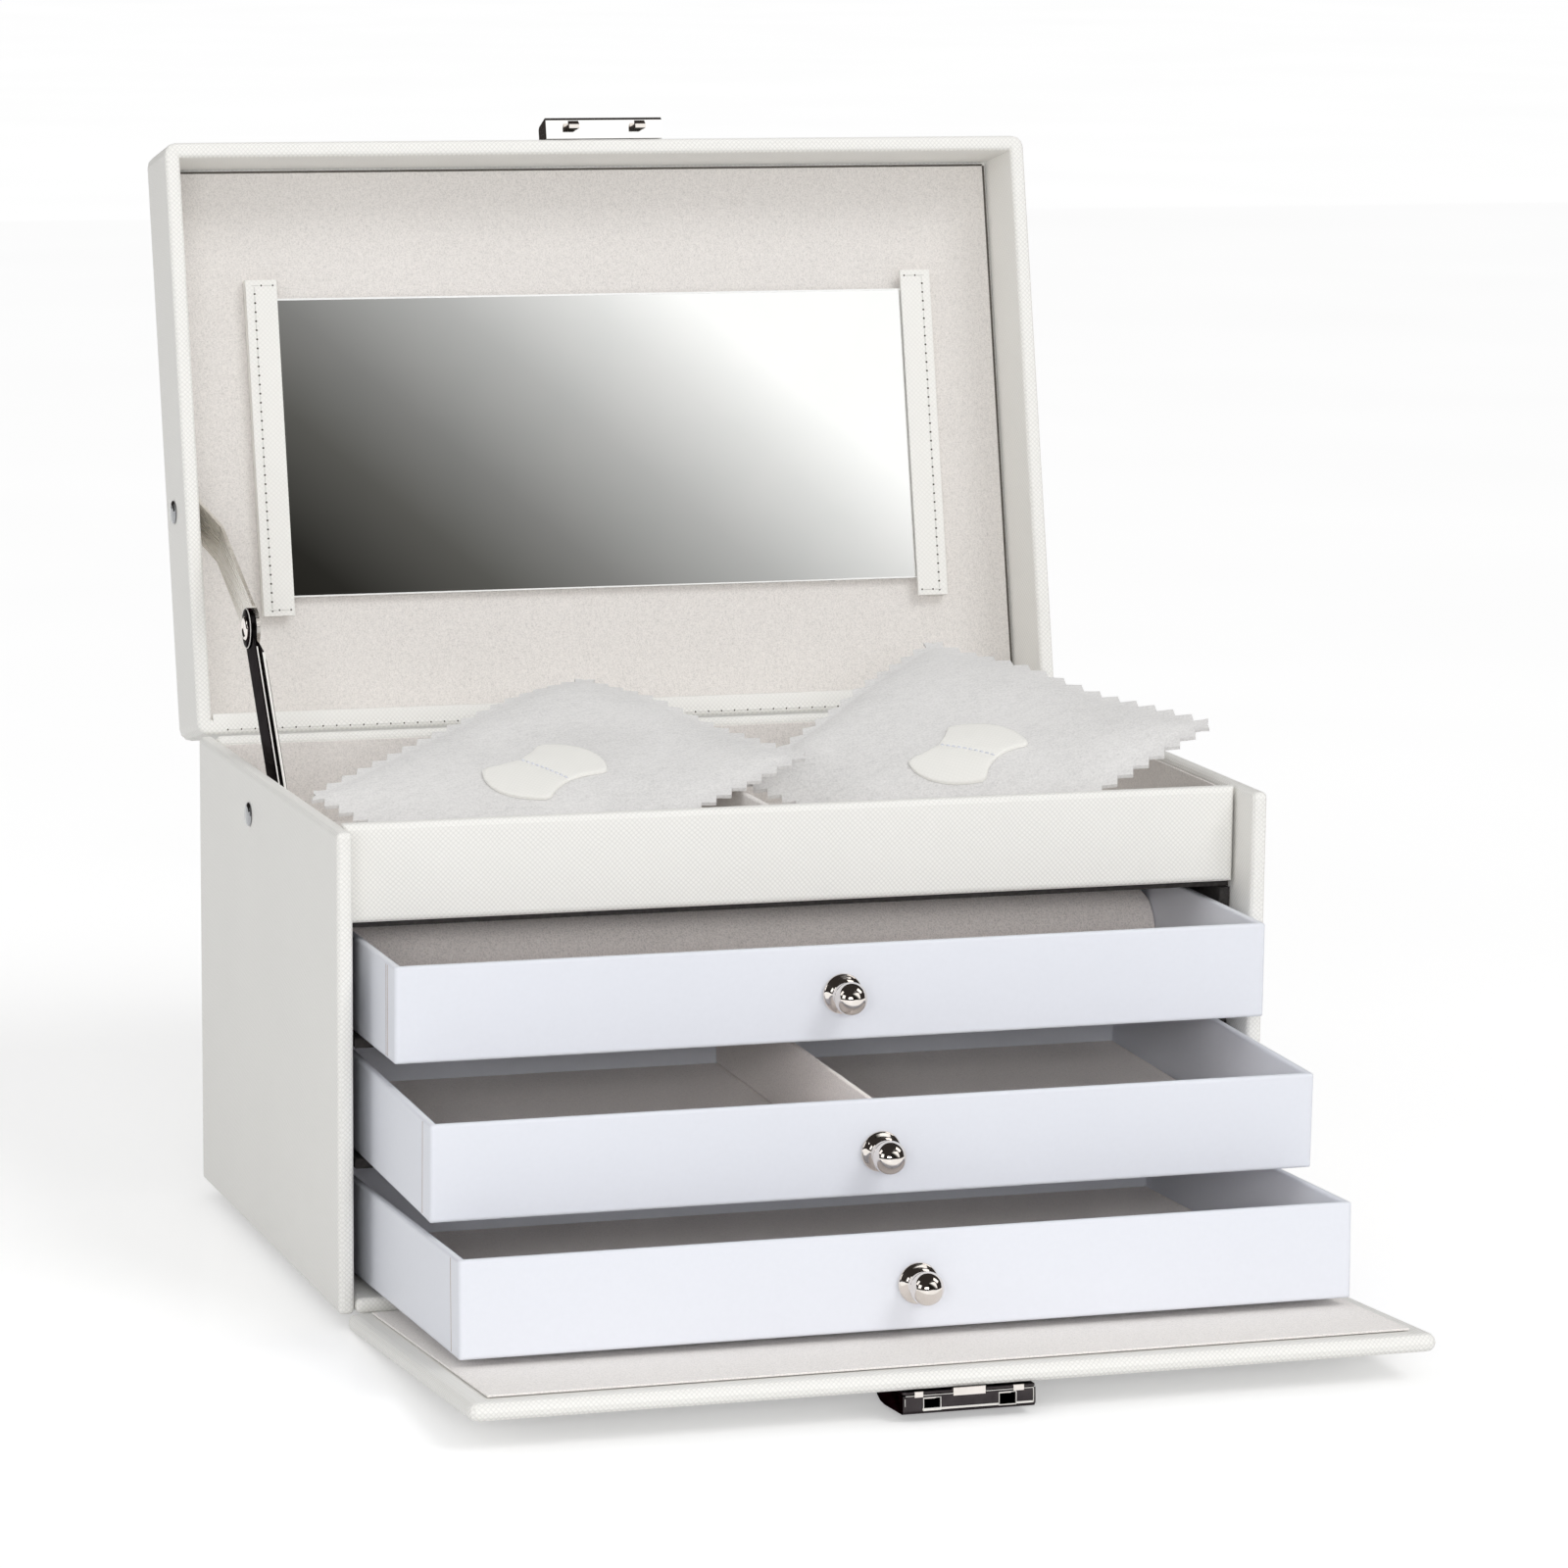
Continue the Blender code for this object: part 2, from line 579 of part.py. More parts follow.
def lid(mats):
    """The lid, modelled closed about its hinge and then turned open."""
    leather = mats["leatherette"]
    pivot = frame("lid_hinge", HINGE, -LID_OPEN)
    low = (-HALF_WIDTH, -LID_LENGTH, 0)
    high = (HALF_WIDTH, 0, LID_DEPTH)
    shell = open_box(
        "lid_shell", low, high, WALL, LID_BOARD, leather, pivot,
        LID_CORNER, LID_EDGE, LID_RIM_EDGE, turned_over=True,
    )
    centre = (-HALF_WIDTH, -STAY_LID_PIVOT_REACH, STAY_LID_PIVOT_DEPTH)
    drill(shell, "lid_rivet_hole", RIVET_SHANK + FIT_GAP, -OVERRUN, WALL + OVERRUN, "x", centre)
    inset = WALL + LID_LINING_GROOVE
    low = (inset - HALF_WIDTH, inset - LID_LENGTH, LID_LINING_FACE)
    high = (HALF_WIDTH - inset, -inset - HINGE_STRIP_THICKNESS, LID_INNER - FIT_GAP)
    board("lid_lining", low, high, "z", mats["flock"], LID_LINING / 3, LEAST_CORNER, pivot)
    mirror_face = LID_LINING_FACE - FIT_GAP - MIRROR_THICKNESS
    far = -MIRROR_FROM_HINGE - MIRROR_HEIGHT
    low = (-MIRROR_WIDTH / 2, far, mirror_face)
    high = (MIRROR_WIDTH / 2, -MIRROR_FROM_HINGE, LID_LINING_FACE - FIT_GAP)
    board("mirror", low, high, "z", mats["mirror"], MIRROR_BEVEL, LEAST_CORNER, pivot)
    strap_face = mirror_face - FIT_GAP - STRAP_THICKNESS
    strap_end = far - STRAP_OVERHANG
    strap_start = STRAP_OVERHANG - MIRROR_FROM_HINGE
    for name, side in (("mirror_strap_left", -1), ("mirror_strap_right", 1)):
        lip = side * (MIRROR_WIDTH / 2 - STRAP_LAP)
        step = side * (MIRROR_WIDTH / 2 + FIT_GAP)
        outer = side * (MIRROR_WIDTH / 2 - STRAP_LAP + STRAP_WIDTH)
        over_mirror = mirror_face - FIT_GAP
        outline = [
            (strap_face, lip),
            (strap_face, outer),
            (LID_LINING_FACE - FIT_GAP, outer),
            (LID_LINING_FACE - FIT_GAP, step),
            (over_mirror, step),
            (over_mirror, lip),
        ]
        prism(name, outline, strap_end, strap_start, "y", leather, pivot)
    high = (HALF_WIDTH - HINGE_STRIP_SHORT, -WALL - FIT_GAP, HINGE_STRIP_WIDTH)
    low = (HINGE_STRIP_SHORT - HALF_WIDTH, -WALL - FIT_GAP - HINGE_STRIP_THICKNESS, LID_RIM_EDGE)
    board("lid_hinge_strip", low, high, "y", leather, HINGE_STRIP_THICKNESS / 3, LEAST_CORNER, pivot)
    catch(mats, pivot)
    return pivot


def catch(mats, pivot):
    """The wedge-shaped catch on the lid's front edge, with its two hooked studs."""
    front = -LID_LENGTH - FIT_GAP
    start = LID_RIM_EDGE
    back = start + CATCH_DEPTH
    outline = [
        (front, start),
        (front, back),
        (front - CATCH_BACK_PROUD + CATCH_EDGE, back),
        (front - CATCH_BACK_PROUD, back - CATCH_EDGE),
        (front - CATCH_PROUD, start + CATCH_EDGE),
        (front - CATCH_PROUD + CATCH_EDGE, start),
    ]
    left = LOCK_ASIDE - LOCK_WIDTH / 2
    prism("lid_catch", outline, left, left + LOCK_WIDTH, "x", mats["nickel"], pivot)
    middle = front - CATCH_PROUD / 2
    neck = STUD_NECK / 2
    tip = start - FIT_GAP - STUD_LENGTH
    outline = [
        (middle + neck, start - FIT_GAP),
        (middle - neck, start - FIT_GAP),
        (middle - neck, tip + STUD_NECK),
        (middle - STUD_HOOK + neck, tip + STUD_NECK),
        (middle - neck, tip),
        (middle + neck, tip),
    ]
    for name, side in (("catch_stud_left", -1), ("catch_stud_right", 1)):
        x = LOCK_ASIDE + side * STUD_SPACING / 2
        prism(name, outline, x - STUD_WIDTH / 2, x + STUD_WIDTH / 2, "x", mats["nickel"], pivot)


def flap(mats):
    """The front flap, modelled level about its pivot and then tilted onto its lock."""
    pivot = frame("flap_hinge", FLAP_PIVOT, -FLAP_TILT)
    half = FLAP_WIDTH / 2
    face = FLAP_THICKNESS / 2
    hinge_edge = face
    free_edge = hinge_edge - FLAP_LENGTH
    low = (-half, free_edge, -face)
    board("flap_board", low, (half, hinge_edge, face), "z", mats["leatherette"], FLAP_EDGE, FLAP_CORNER, pivot)
    low = (FLAP_LINING_BORDER - half, free_edge + FLAP_LINING_BORDER, face + FIT_GAP)
    high = (half - FLAP_LINING_BORDER, hinge_edge - FLAP_LINING_BORDER, face + FIT_GAP + FLAP_LINING)
    board("flap_lining", low, high, "z", mats["flock"], FLAP_LINING / 3, LEAST_CORNER, pivot)
    lock(mats, pivot, free_edge + LOCK_EDGE_SETBACK, -face)
    return pivot


def lock(mats, pivot, front, outer_face):
    """The lock case under the flap's free edge, with its back plate and its bolt."""
    left = LOCK_ASIDE - LOCK_WIDTH / 2
    right = LOCK_ASIDE + LOCK_WIDTH / 2
    plate_top = outer_face - FIT_GAP
    plate_bottom = plate_top - LOCK_PLATE
    low = (left, front, plate_bottom)
    high = (right, front + LOCK_LENGTH, plate_top)
    board("lock_back_plate", low, high, "z", mats["chrome"], LOCK_PLATE / 4, LOCK_PLATE, pivot)
    top = plate_bottom - FIT_GAP
    back = front + LOCK_LENGTH
    bottom = top - LOCK_HEIGHT
    outline = [(front, top), (front, bottom + LOCK_WALL), (front + LOCK_WALL, bottom)]
    for step in range(CORNER_STEPS + 1):
        angle = step / CORNER_STEPS * math.pi / 2
        along = back - LOCK_BACK_ROUND * (1 - math.sin(angle))
        outline.append((along, bottom + LOCK_BACK_DROP * (1 - math.cos(angle))))
    outline.append((back, top))
    case = prism("lock_case", outline, left, right, "x", mats["chrome"], pivot)
    hollow_front = front + LOCK_WALL
    hollow = [
        (hollow_front, top + OVERRUN),
        (hollow_front, bottom + LOCK_WALL),
        (back - LOCK_BACK_ROUND, bottom + LOCK_WALL),
        (back - LOCK_BACK_ROUND, top + OVERRUN),
    ]
    cut(case, prism("lock_hollow", hollow, left + LOCK_WALL, right - LOCK_WALL, "x", mats["chrome"]))
    window_top = top - (LOCK_HEIGHT - WINDOW_HEIGHT) / 2
    for name, side in (("window_left", -1), ("window_right", 1)):
        x = LOCK_ASIDE + side * STUD_SPACING / 2
        window = [
            (front - OVERRUN, window_top),
            (front - OVERRUN, window_top - WINDOW_HEIGHT),
            (hollow_front + LOCK_WALL, window_top - WINDOW_HEIGHT),
            (hollow_front + LOCK_WALL, window_top),
        ]
        cut(case, prism(name, window, x - WINDOW_WIDTH / 2, x + WINDOW_WIDTH / 2, "x", mats["chrome"]))
    bolt_front = hollow_front + FIT_GAP
    bolt_top = top - FIT_GAP
    low = (LOCK_ASIDE - BOLT_WIDTH / 2, bolt_front, bolt_top - BOLT_THICKNESS)
    high = (LOCK_ASIDE + BOLT_WIDTH / 2, bolt_front + BOLT_LENGTH, bolt_top)
    board("lock_bolt", low, high, "z", mats["nickel"], BOLT_THICKNESS / 4, BOLT_THICKNESS / 2, pivot)


def rivet(name, mats, parent, place, grip_end, link_start):
    """A domed rivet through a wall, a spacer and a link's eye, along X from outside in."""
    tail = link_start + STAY_THICKNESS + FIT_GAP
    profile = list(reversed(dome(RIVET_HEAD, RIVET_DOME, -FIT_GAP, -1)))
    profile += [
        (RIVET_SHANK, -FIT_GAP),
        (RIVET_SHANK, grip_end + FIT_GAP),
        (RIVET_TAIL, grip_end + FIT_GAP),
        (RIVET_TAIL, link_start - FIT_GAP),
        (RIVET_SHANK, link_start - FIT_GAP),
        (RIVET_SHANK, tail),
        (RIVET_TAIL, tail),
        (RIVET_TAIL, tail + RIVET_TAIL_THICKNESS),
    ]
    turned(name, profile, "x", place, mats["nickel"], parent, steps=SMALL_ROUND_STEPS)


def middle_joint(body_pivot, lid_pivot):
    """Where the two links meet, on the front side of the line between their pivots."""
    across = lid_pivot - body_pivot
    span = across.length
    along = (STAY_LOWER_LENGTH**2 - STAY_UPPER_LENGTH**2 + span**2) / (2 * span)
    aside = math.sqrt(STAY_LOWER_LENGTH**2 - along**2)
    unit = across / span
    return body_pivot + unit * along + Vector((0, -unit.z, unit.y)) * aside


def link_outline(length, start_radius, end_radius, half):
    """Round eyes at both ends of a straight bar, along the flat frame's first axis."""
    lean_start = math.asin(half / start_radius)
    lean_end = math.asin(half / end_radius)
    points = arc((0, 0), start_radius, lean_start, math.tau - lean_start, 12)
    return points + arc((length, 0), end_radius, lean_end - math.pi, math.pi - lean_end, 12)


def stay(mats, lid_frame):
    """The folding stay: lower link on the body, upper link on the lid, open at its middle joint."""
    body_pivot = Vector((0, STAY_BODY_PIVOT_Y, CASE_TOP - STAY_BODY_PIVOT_DROP))
    lid_local = Vector((0, -STAY_LID_PIVOT_REACH, STAY_LID_PIVOT_DEPTH))
    lid_pivot = HINGE + Matrix.Rotation(-LID_OPEN, 3, "X") @ lid_local
    middle = middle_joint(body_pivot, lid_pivot)
    lower_way = middle - body_pivot
    upper_way = middle - lid_pivot
    lower_start = TRAY_LINING + STAY_LOWER_WALL_GAP - INNER_X
    upper_start = lower_start + STAY_THICKNESS + FIT_GAP
    lower = frame("stay_lower_pivot", body_pivot, math.atan2(lower_way.z, lower_way.y))
    upper_turn = math.atan2(upper_way.z, upper_way.y) + LID_OPEN
    upper = frame("stay_upper_pivot", lid_local, upper_turn, lid_frame)

    outline = link_outline(STAY_LOWER_LENGTH, STAY_EYE, STAY_EYE, STAY_LOWER_HALF)
    lower_end = lower_start + STAY_THICKNESS
    plate = prism("stay_lower_link", outline, lower_start, lower_end, "x", mats["chrome"], lower)
    flange_low = STAY_FLANGE_START
    flange_high = STAY_LOWER_LENGTH - STAY_FLANGE_END
    far = STAY_LOWER_HALF
    near = far - STAY_THICKNESS
    rib = [(flange_low, near), (flange_high, near), (flange_high, far), (flange_low, far)]
    start = lower_start + STAY_THICKNESS / 2
    flange = prism("flange", rib, start, lower_end + STAY_FLANGE, "x", mats["chrome"])
    cut(plate, flange)
    plate.modifiers[-1].operation = "UNION"
    hole = RIVET_SHANK + FIT_GAP
    near_face = lower_start - OVERRUN
    far_face = lower_end + OVERRUN
    drill(plate, "lower_eye_hole", hole, near_face, far_face, "x", (0, 0, 0))
    drill(plate, "middle_eye_hole", hole, near_face, far_face, "x", (0, STAY_LOWER_LENGTH, 0))

    head = lower_start - FIT_GAP
    profile = list(reversed(dome(RIVET_TAIL, RIVET_TAIL_THICKNESS, head, -1)))
    profile += [(RIVET_SHANK, head), (RIVET_SHANK, lower_end)]
    centre = (0, STAY_LOWER_LENGTH, 0)
    turned("stay_middle_rivet", profile, "x", centre, mats["nickel"], lower, SMALL_ROUND_STEPS)

    outline = link_outline(STAY_UPPER_LENGTH, STAY_LID_EYE, STAY_LID_EYE, STAY_UPPER_HALF)
    lid_start = 2 * FIT_GAP + STAY_THICKNESS / 2 - INNER_X
    side_view = [
        (-STAY_EYE - OVERRUN, lid_start),
        (STAY_JOG_START, lid_start),
        (STAY_JOG_END, upper_start),
        (STAY_UPPER_LENGTH + STAY_EYE + OVERRUN, upper_start),
    ]
    strip = side_view + [(along, x + STAY_THICKNESS) for along, x in reversed(side_view)]
    rings = [[(x, along, level) for along, x in strip] for level in (-STAY_EYE - OVERRUN, STAY_EYE + OVERRUN)]
    link = finish("stay_upper_link", loft(rings), mats["nickel"], upper)
    trim_start = lid_start - OVERRUN
    trim_end = upper_start + STAY_THICKNESS + OVERRUN
    trim = prism("upper_outline", outline, trim_start, trim_end, "x", mats["nickel"])
    cut(link, trim)
    link.modifiers[-1].operation = "INTERSECT"
    drill(link, "upper_eye_hole", hole, lid_start - OVERRUN, lid_start + STAY_THICKNESS + OVERRUN, "x", (0, 0, 0))

    place = (-HALF_WIDTH, body_pivot.y, body_pivot.z)
    lining_face = WALL + FIT_GAP + TRAY_LINING
    rivet("body_rivet", mats, None, place, lining_face, lower_start + HALF_WIDTH)
    place = (-HALF_WIDTH, lid_local.y, lid_local.z)
    rivet("lid_rivet", mats, lid_frame, place, WALL, lid_start + HALF_WIDTH)


def tray_point(shares):
    """A point over the tray, from its shares of the tray's half width, half depth and depth."""
    half_width = INNER_X - FIT_GAP - TRAY_LINING
    front = BAND_BACK_Y + FIT_GAP + TRAY_LINING
    back = BACK_INNER_Y - FIT_GAP - TRAY_LINING
    y = (front + back) / 2 + shares[1] * (back - front) / 2
    return Vector((shares[0] * half_width, y, TRAY_FLOOR + shares[2] * (CASE_TOP - TRAY_FLOOR)))


def pouch_point(corners, u, v):
    """A point of the pouch's middle surface: u runs to its right corner, v to its left one."""
    back, right, left, front = corners
    flat = back * (1 - u) * (1 - v) + right * u * (1 - v) + left * (1 - u) * v + front * u * v
    crown = POUCH_CROWN * math.sin(math.pi * u) * math.sin(math.pi * v)
    fold = POUCH_FOLD * math.sin(math.tau * (u + v)) * math.sin(math.pi * u) * math.sin(math.pi * v)
    return flat + Vector((0, 0, crown + fold))


def pouch_normal(corners):
    back, right, left, _ = corners
    normal = (right - back).cross(left - back).normalized()
    return normal if normal.z > 0 else -normal


def pouch_half_thickness(u, v):
    return POUCH_HEM / 2 + POUCH_PUFF * math.sin(math.pi * u) ** 0.5 * math.sin(math.pi * v) ** 0.5


def pouch(name, corners, mats):
    """A cloth pouch as a thin pillow over a bent four-cornered sheet."""
    normal = pouch_normal(corners)
    shape = bmesh.new()
    layers = []
    for side in (-1, 1):
        grid = []
        for i in range(POUCH_STEPS + 1):
            row = []
            for j in range(POUCH_STEPS + 1):
                u = i / POUCH_STEPS
                v = j / POUCH_STEPS
                point = pouch_point(corners, u, v) + normal * side * pouch_half_thickness(u, v)
                row.append(shape.verts.new(point))
            grid.append(row)
        layers.append(grid)
        for i in range(POUCH_STEPS):
            for j in range(POUCH_STEPS):
                shape.faces.new((grid[i][j], grid[i + 1][j], grid[i + 1][j + 1], grid[i][j + 1]))
    low, high = layers
    last = POUCH_STEPS
    border = [(i, 0) for i in range(last)] + [(last, j) for j in range(last)]
    border += [(i, last) for i in range(last, 0, -1)] + [(0, j) for j in range(last, 0, -1)]
    for (i, j), (k, m) in zip(border, border[1:] + border[:1]):
        shape.faces.new((low[i][j], low[k][m], high[k][m], high[i][j]))
    finish(name, shape, mats["pouch"])


def pouch_tab(name, corners, mats):
    """The two-lobed leatherette tab sewn on the middle of a pouch."""
    back, right, left, _ = corners
    width = (right - back).length
    length = (left - back).length
    normal = pouch_normal(corners)

    def spot(share, angle, lift):
        swell = math.sin(math.pi / 2 * abs(math.cos(angle)) ** TAB_FULLNESS)
        reach = TAB_WAIST + (TAB_REACH - TAB_WAIST) * swell
        u = 0.5 + share * reach * math.sin(angle) / width
        v = 0.5 + share * reach * math.cos(angle) / length
        surface = pouch_half_thickness(u, v) + FIT_GAP + lift
        return pouch_point(corners, u, v) + normal * surface

    angles = [step / TAB_STEPS * math.tau for step in range(TAB_STEPS)]
    rings = []
    for share in TAB_RING_SHARES:
        rings.append([spot(share, angle, 0) for angle in angles])
    for share in reversed(TAB_RING_SHARES):
        rings.append([spot(share, angle, TAB_THICKNESS) for angle in angles])
    finish(name, loft(rings), mats["leatherette"])


def build():
    clear_scene()
    mats = make_materials()
    case_body(mats)
    tray_and_bays(mats)
    drawers(mats)
    lid_frame = lid(mats)
    stay(mats, lid_frame)
    flap(mats)
    for side, shares in (("left", POUCH_LEFT_SHARES), ("right", POUCH_RIGHT_SHARES)):
        corners = [tray_point(corner) for corner in shares]
        pouch("pouch_" + side, corners, mats)
        pouch_tab("pouch_tab_" + side, corners, mats)
    for made in bpy.data.objects:
        if made.parent is None:
            made.location.y += ORIGIN_SETBACK


build()
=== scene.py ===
"""Looks for the open jewelry case: camera, soft studio light, materials, cloth pouches and stitching."""

import json
import math

import bmesh
import bpy
from mathutils import Matrix, Vector, noise


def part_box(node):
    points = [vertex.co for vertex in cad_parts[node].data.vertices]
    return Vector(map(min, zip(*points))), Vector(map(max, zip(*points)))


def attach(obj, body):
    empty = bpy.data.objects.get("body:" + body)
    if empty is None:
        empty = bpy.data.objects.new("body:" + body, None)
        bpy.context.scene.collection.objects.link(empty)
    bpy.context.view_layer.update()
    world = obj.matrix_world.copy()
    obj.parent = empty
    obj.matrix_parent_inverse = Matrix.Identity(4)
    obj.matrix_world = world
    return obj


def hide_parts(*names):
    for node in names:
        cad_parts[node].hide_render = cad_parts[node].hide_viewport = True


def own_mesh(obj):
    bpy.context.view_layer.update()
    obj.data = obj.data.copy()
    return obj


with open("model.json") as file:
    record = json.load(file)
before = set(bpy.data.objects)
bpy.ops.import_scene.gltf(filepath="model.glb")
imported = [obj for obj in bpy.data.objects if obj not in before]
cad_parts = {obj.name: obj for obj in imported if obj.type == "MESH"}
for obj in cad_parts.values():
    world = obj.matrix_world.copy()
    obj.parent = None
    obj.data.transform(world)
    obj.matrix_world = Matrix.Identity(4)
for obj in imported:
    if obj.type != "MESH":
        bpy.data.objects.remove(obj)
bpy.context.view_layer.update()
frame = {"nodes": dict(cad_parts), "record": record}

MM = 0.001

# The open case; a drawer has its pull out of the case, the level of its lower edge and its tilt
SETBACK = 33.2 * MM  # the case's own middle lies this far behind the origin
CASE_FRONT = -86
LID_OPEN = math.radians(102.8)
FLAP_TILT = math.radians(3.76)
DRAWERS = {1: (24, 78.7, 0.0), 2: (61, 43.6, math.radians(1.2)), 3: (91, 13.9, math.radians(-1.95))}
SIDES = (("left", -1), ("right", 1))


def case_point(x, y, z):
    """Millimetres from the middle of the case's footprint, as a place in the scene."""
    return Vector((x * MM, y * MM + SETBACK, z * MM))


HINGE = case_point(0, 86, 138.3)
FLAP_PIVOT = case_point(0, -88.8, 2.5)


def lid_way(x, reach, depth):
    """A direction in the lid: right, from the hinge to its free edge, and up from its rim when closed."""
    return Matrix.Rotation(-LID_OPEN, 3, "X") @ Vector((x, -reach, depth))


def lid_point(x, reach, depth):
    """A point in the lid, from millimetres along the directions that lid_way names."""
    return HINGE + lid_way(x * MM, reach * MM, depth * MM)


def flap_point(x, along, height):
    """A point on the flap from millimetres right, from its pivot towards the case, and above its middle."""
    return FLAP_PIVOT + Matrix.Rotation(-FLAP_TILT, 3, "X") @ Vector((x * MM, along * MM, height * MM))


def drawer_point(number, x, back, height):
    """A point in a drawer from millimetres right, behind its front's face and above its lower edge."""
    pull, bottom, tilt = DRAWERS[number]
    local = Matrix.Rotation(tilt, 3, "X") @ Vector((x * MM, back * MM, height * MM))
    return case_point(0, CASE_FRONT - pull, bottom) + local


def frange(start, end, count):
    """Evenly spaced values from start to end, with this many steps between them."""
    return [start + (end - start) * step / count for step in range(count + 1)]


def smoothstep(value):
    value = min(max(value, 0.0), 1.0)
    return value * value * (3 - 2 * value)


def circle(sides):
    """Cosine and sine at even steps round a circle."""
    angles = [step / sides * math.tau for step in range(sides)]
    return [(math.cos(angle), math.sin(angle)) for angle in angles]


def shade(colour, share):
    return tuple(part * share for part in colour)


def add(name, data):
    """A new object in the scene for a mesh, a lamp or a camera."""
    made = bpy.data.objects.new(name, data)
    bpy.context.scene.collection.objects.link(made)
    return made


# Camera
YAW = math.radians(17.962)
PITCH = math.radians(11.734)
ROLL = math.radians(0.616)
DISTANCE = 1780.38 * MM
TARGET = case_point(19.328, 0, 57.989)
FOCAL_PX = 6212.88
IMAGE_PX = 1600
CENTRE_PX = (798.21, 1052.42)
SENSOR = 36
SIGHT = 100


def make_camera():
    ahead = math.cos(PITCH)
    forward = Vector((math.sin(YAW) * ahead, math.cos(YAW) * ahead, -math.sin(PITCH)))
    level = Vector((math.cos(YAW), -math.sin(YAW), 0))
    upright = level.cross(forward)
    right = level * math.cos(ROLL) + upright * math.sin(ROLL)
    up = upright * math.cos(ROLL) - level * math.sin(ROLL)
    data = bpy.data.cameras.new("camera")
    data.sensor_width = SENSOR
    data.sensor_fit = "HORIZONTAL"
    data.lens = FOCAL_PX / IMAGE_PX * SENSOR
    data.shift_x = (IMAGE_PX / 2 - CENTRE_PX[0]) / IMAGE_PX
    data.shift_y = (CENTRE_PX[1] - IMAGE_PX / 2) / IMAGE_PX
    data.clip_end = SIGHT
    camera = add("camera", data)
    turn = Matrix((right, up, -forward)).transposed()
    camera.matrix_world = Matrix.Translation(TARGET - forward * DISTANCE) @ turn.to_4x4()
    bpy.context.scene.camera = camera


# A noise lies mostly between these two values
NOISE_LOW = 0.3
NOISE_HIGH = 0.7


class Paint:
    """A material and its nodes, with short calls to add and join them."""

    def __init__(self, name, **settings):
        self.material = bpy.data.materials.new(name)
        self.material.use_nodes = True
        self.tree = self.material.node_tree
        self.shader = self.tree.nodes["Principled BSDF"]
        self.fill(self.shader, **settings)
        self.coordinates = self.tree.nodes.new("ShaderNodeTexCoord").outputs["Object"]

    def put(self, value, socket):
        """Joins another node's socket to this one, or copies any other value into it."""
        if isinstance(value, bpy.types.NodeSocket):
            self.tree.links.new(value, socket)
        else:
            socket.default_value = value

    def fill(self, node, **values):
        """Sets a node's sockets by their names."""
        for key, value in values.items():
            self.put(value, node.inputs[key.replace("_", " ")])
        return node

    def node(self, kind, inputs=(), **settings):
        """A new node whose first sockets are set in their order."""
        made = self.tree.nodes.new("ShaderNode" + kind)
        for key, value in settings.items():
            setattr(made, key, value)
        for value, socket in zip(inputs, made.inputs):
            self.put(value, socket)
        return made

    def math(self, operation, *values):
        return self.node("Math", values, operation=operation).outputs[0]

    def vector(self, operation, *values):
        return self.node("VectorMath", values, operation=operation).outputs[0]

    def separate(self, vector):
        return self.node("SeparateXYZ", (vector,)).outputs

    def total(self, *parts):
        """The sum of some sockets, each times its share."""
        shares = [self.math("MULTIPLY", socket, share) for socket, share in parts]
        result = shares[0]
        for more in shares[1:]:
            result = self.math("ADD", result, more)
        return result

    def pick(self, choice, otherwise, chosen):
        change = self.math("SUBTRACT", chosen, otherwise)
        return self.math("ADD", otherwise, self.math("MULTIPLY", change, choice))

    def noise(self, scale, detail=3.0, roughness=0.5, stretch=(1, 1, 1), vector=None):
        source = self.coordinates if vector is None else vector
        if stretch != (1, 1, 1):
            source = self.vector("MULTIPLY", source, stretch)
        made = self.node("TexNoise")
        return self.fill(made, Vector=source, Scale=scale, Detail=detail, Roughness=roughness).outputs[0]

    def spread(self, value, low, high, to_low=0.0, to_high=1.0):
        made = self.node("MapRange")
        self.fill(made, Value=value, From_Min=low, From_Max=high, To_Min=to_low, To_Max=to_high)
        return made.outputs[0]

    def ramp(self, value, stops):
        made = self.node("ValToRGB", (value,))
        points = made.color_ramp.elements
        while len(points) < len(stops):
            points.new(0.5)
        for point, (place, colour) in zip(points, stops):
            point.position = place
            point.color = (*colour, 1)
        return made.outputs[0]

    def colour(self, value, *stops):
        self.fill(self.shader, Base_Color=self.ramp(value, stops))

    def two_tone(self, grain, dark, light):
        """Colours the surface between two tones by a noise."""
        self.colour(grain, (NOISE_LOW, dark), (NOISE_HIGH, light))

    def roughness(self, grain, low, high):
        self.fill(self.shader, Roughness=self.spread(grain, NOISE_LOW, NOISE_HIGH, low, high))

    def bump(self, height, strength, distance, **under):
        made = self.node("Bump")
        self.fill(made, Strength=strength, Distance=distance, Height=height, **under)
        self.fill(self.shader, Normal=made.outputs[0])

    def surface(self, shader):
        self.fill(self.tree.nodes["Material Output"], Surface=shader.outputs[0])
        return self.material

    def face_plane(self):
        """Coordinates along the face that a point is on, in metres, from the side the face looks to."""
        normal = self.node("NewGeometry").outputs["Normal"]
        turn = {"vector_type": "NORMAL", "convert_from": "WORLD", "convert_to": "OBJECT"}
        turned = self.node("VectorTransform", (normal,), **turn).outputs[0]
        nx, ny, nz = self.separate(self.vector("ABSOLUTE", turned))
        x, y, z = self.separate(self.coordinates)
        to_side = self.math("GREATER_THAN", nx, self.math("MAXIMUM", ny, nz))
        to_top = self.math("GREATER_THAN", nz, self.math("MAXIMUM", nx, ny))
        return self.pick(to_side, x, y), self.pick(to_top, z, y)


# Materials; a noise's first number is its scale, in grains a metre
LEATHER_PITCH = 1.4 * MM
LEATHER_SWAY = 0.35 * LEATHER_PITCH


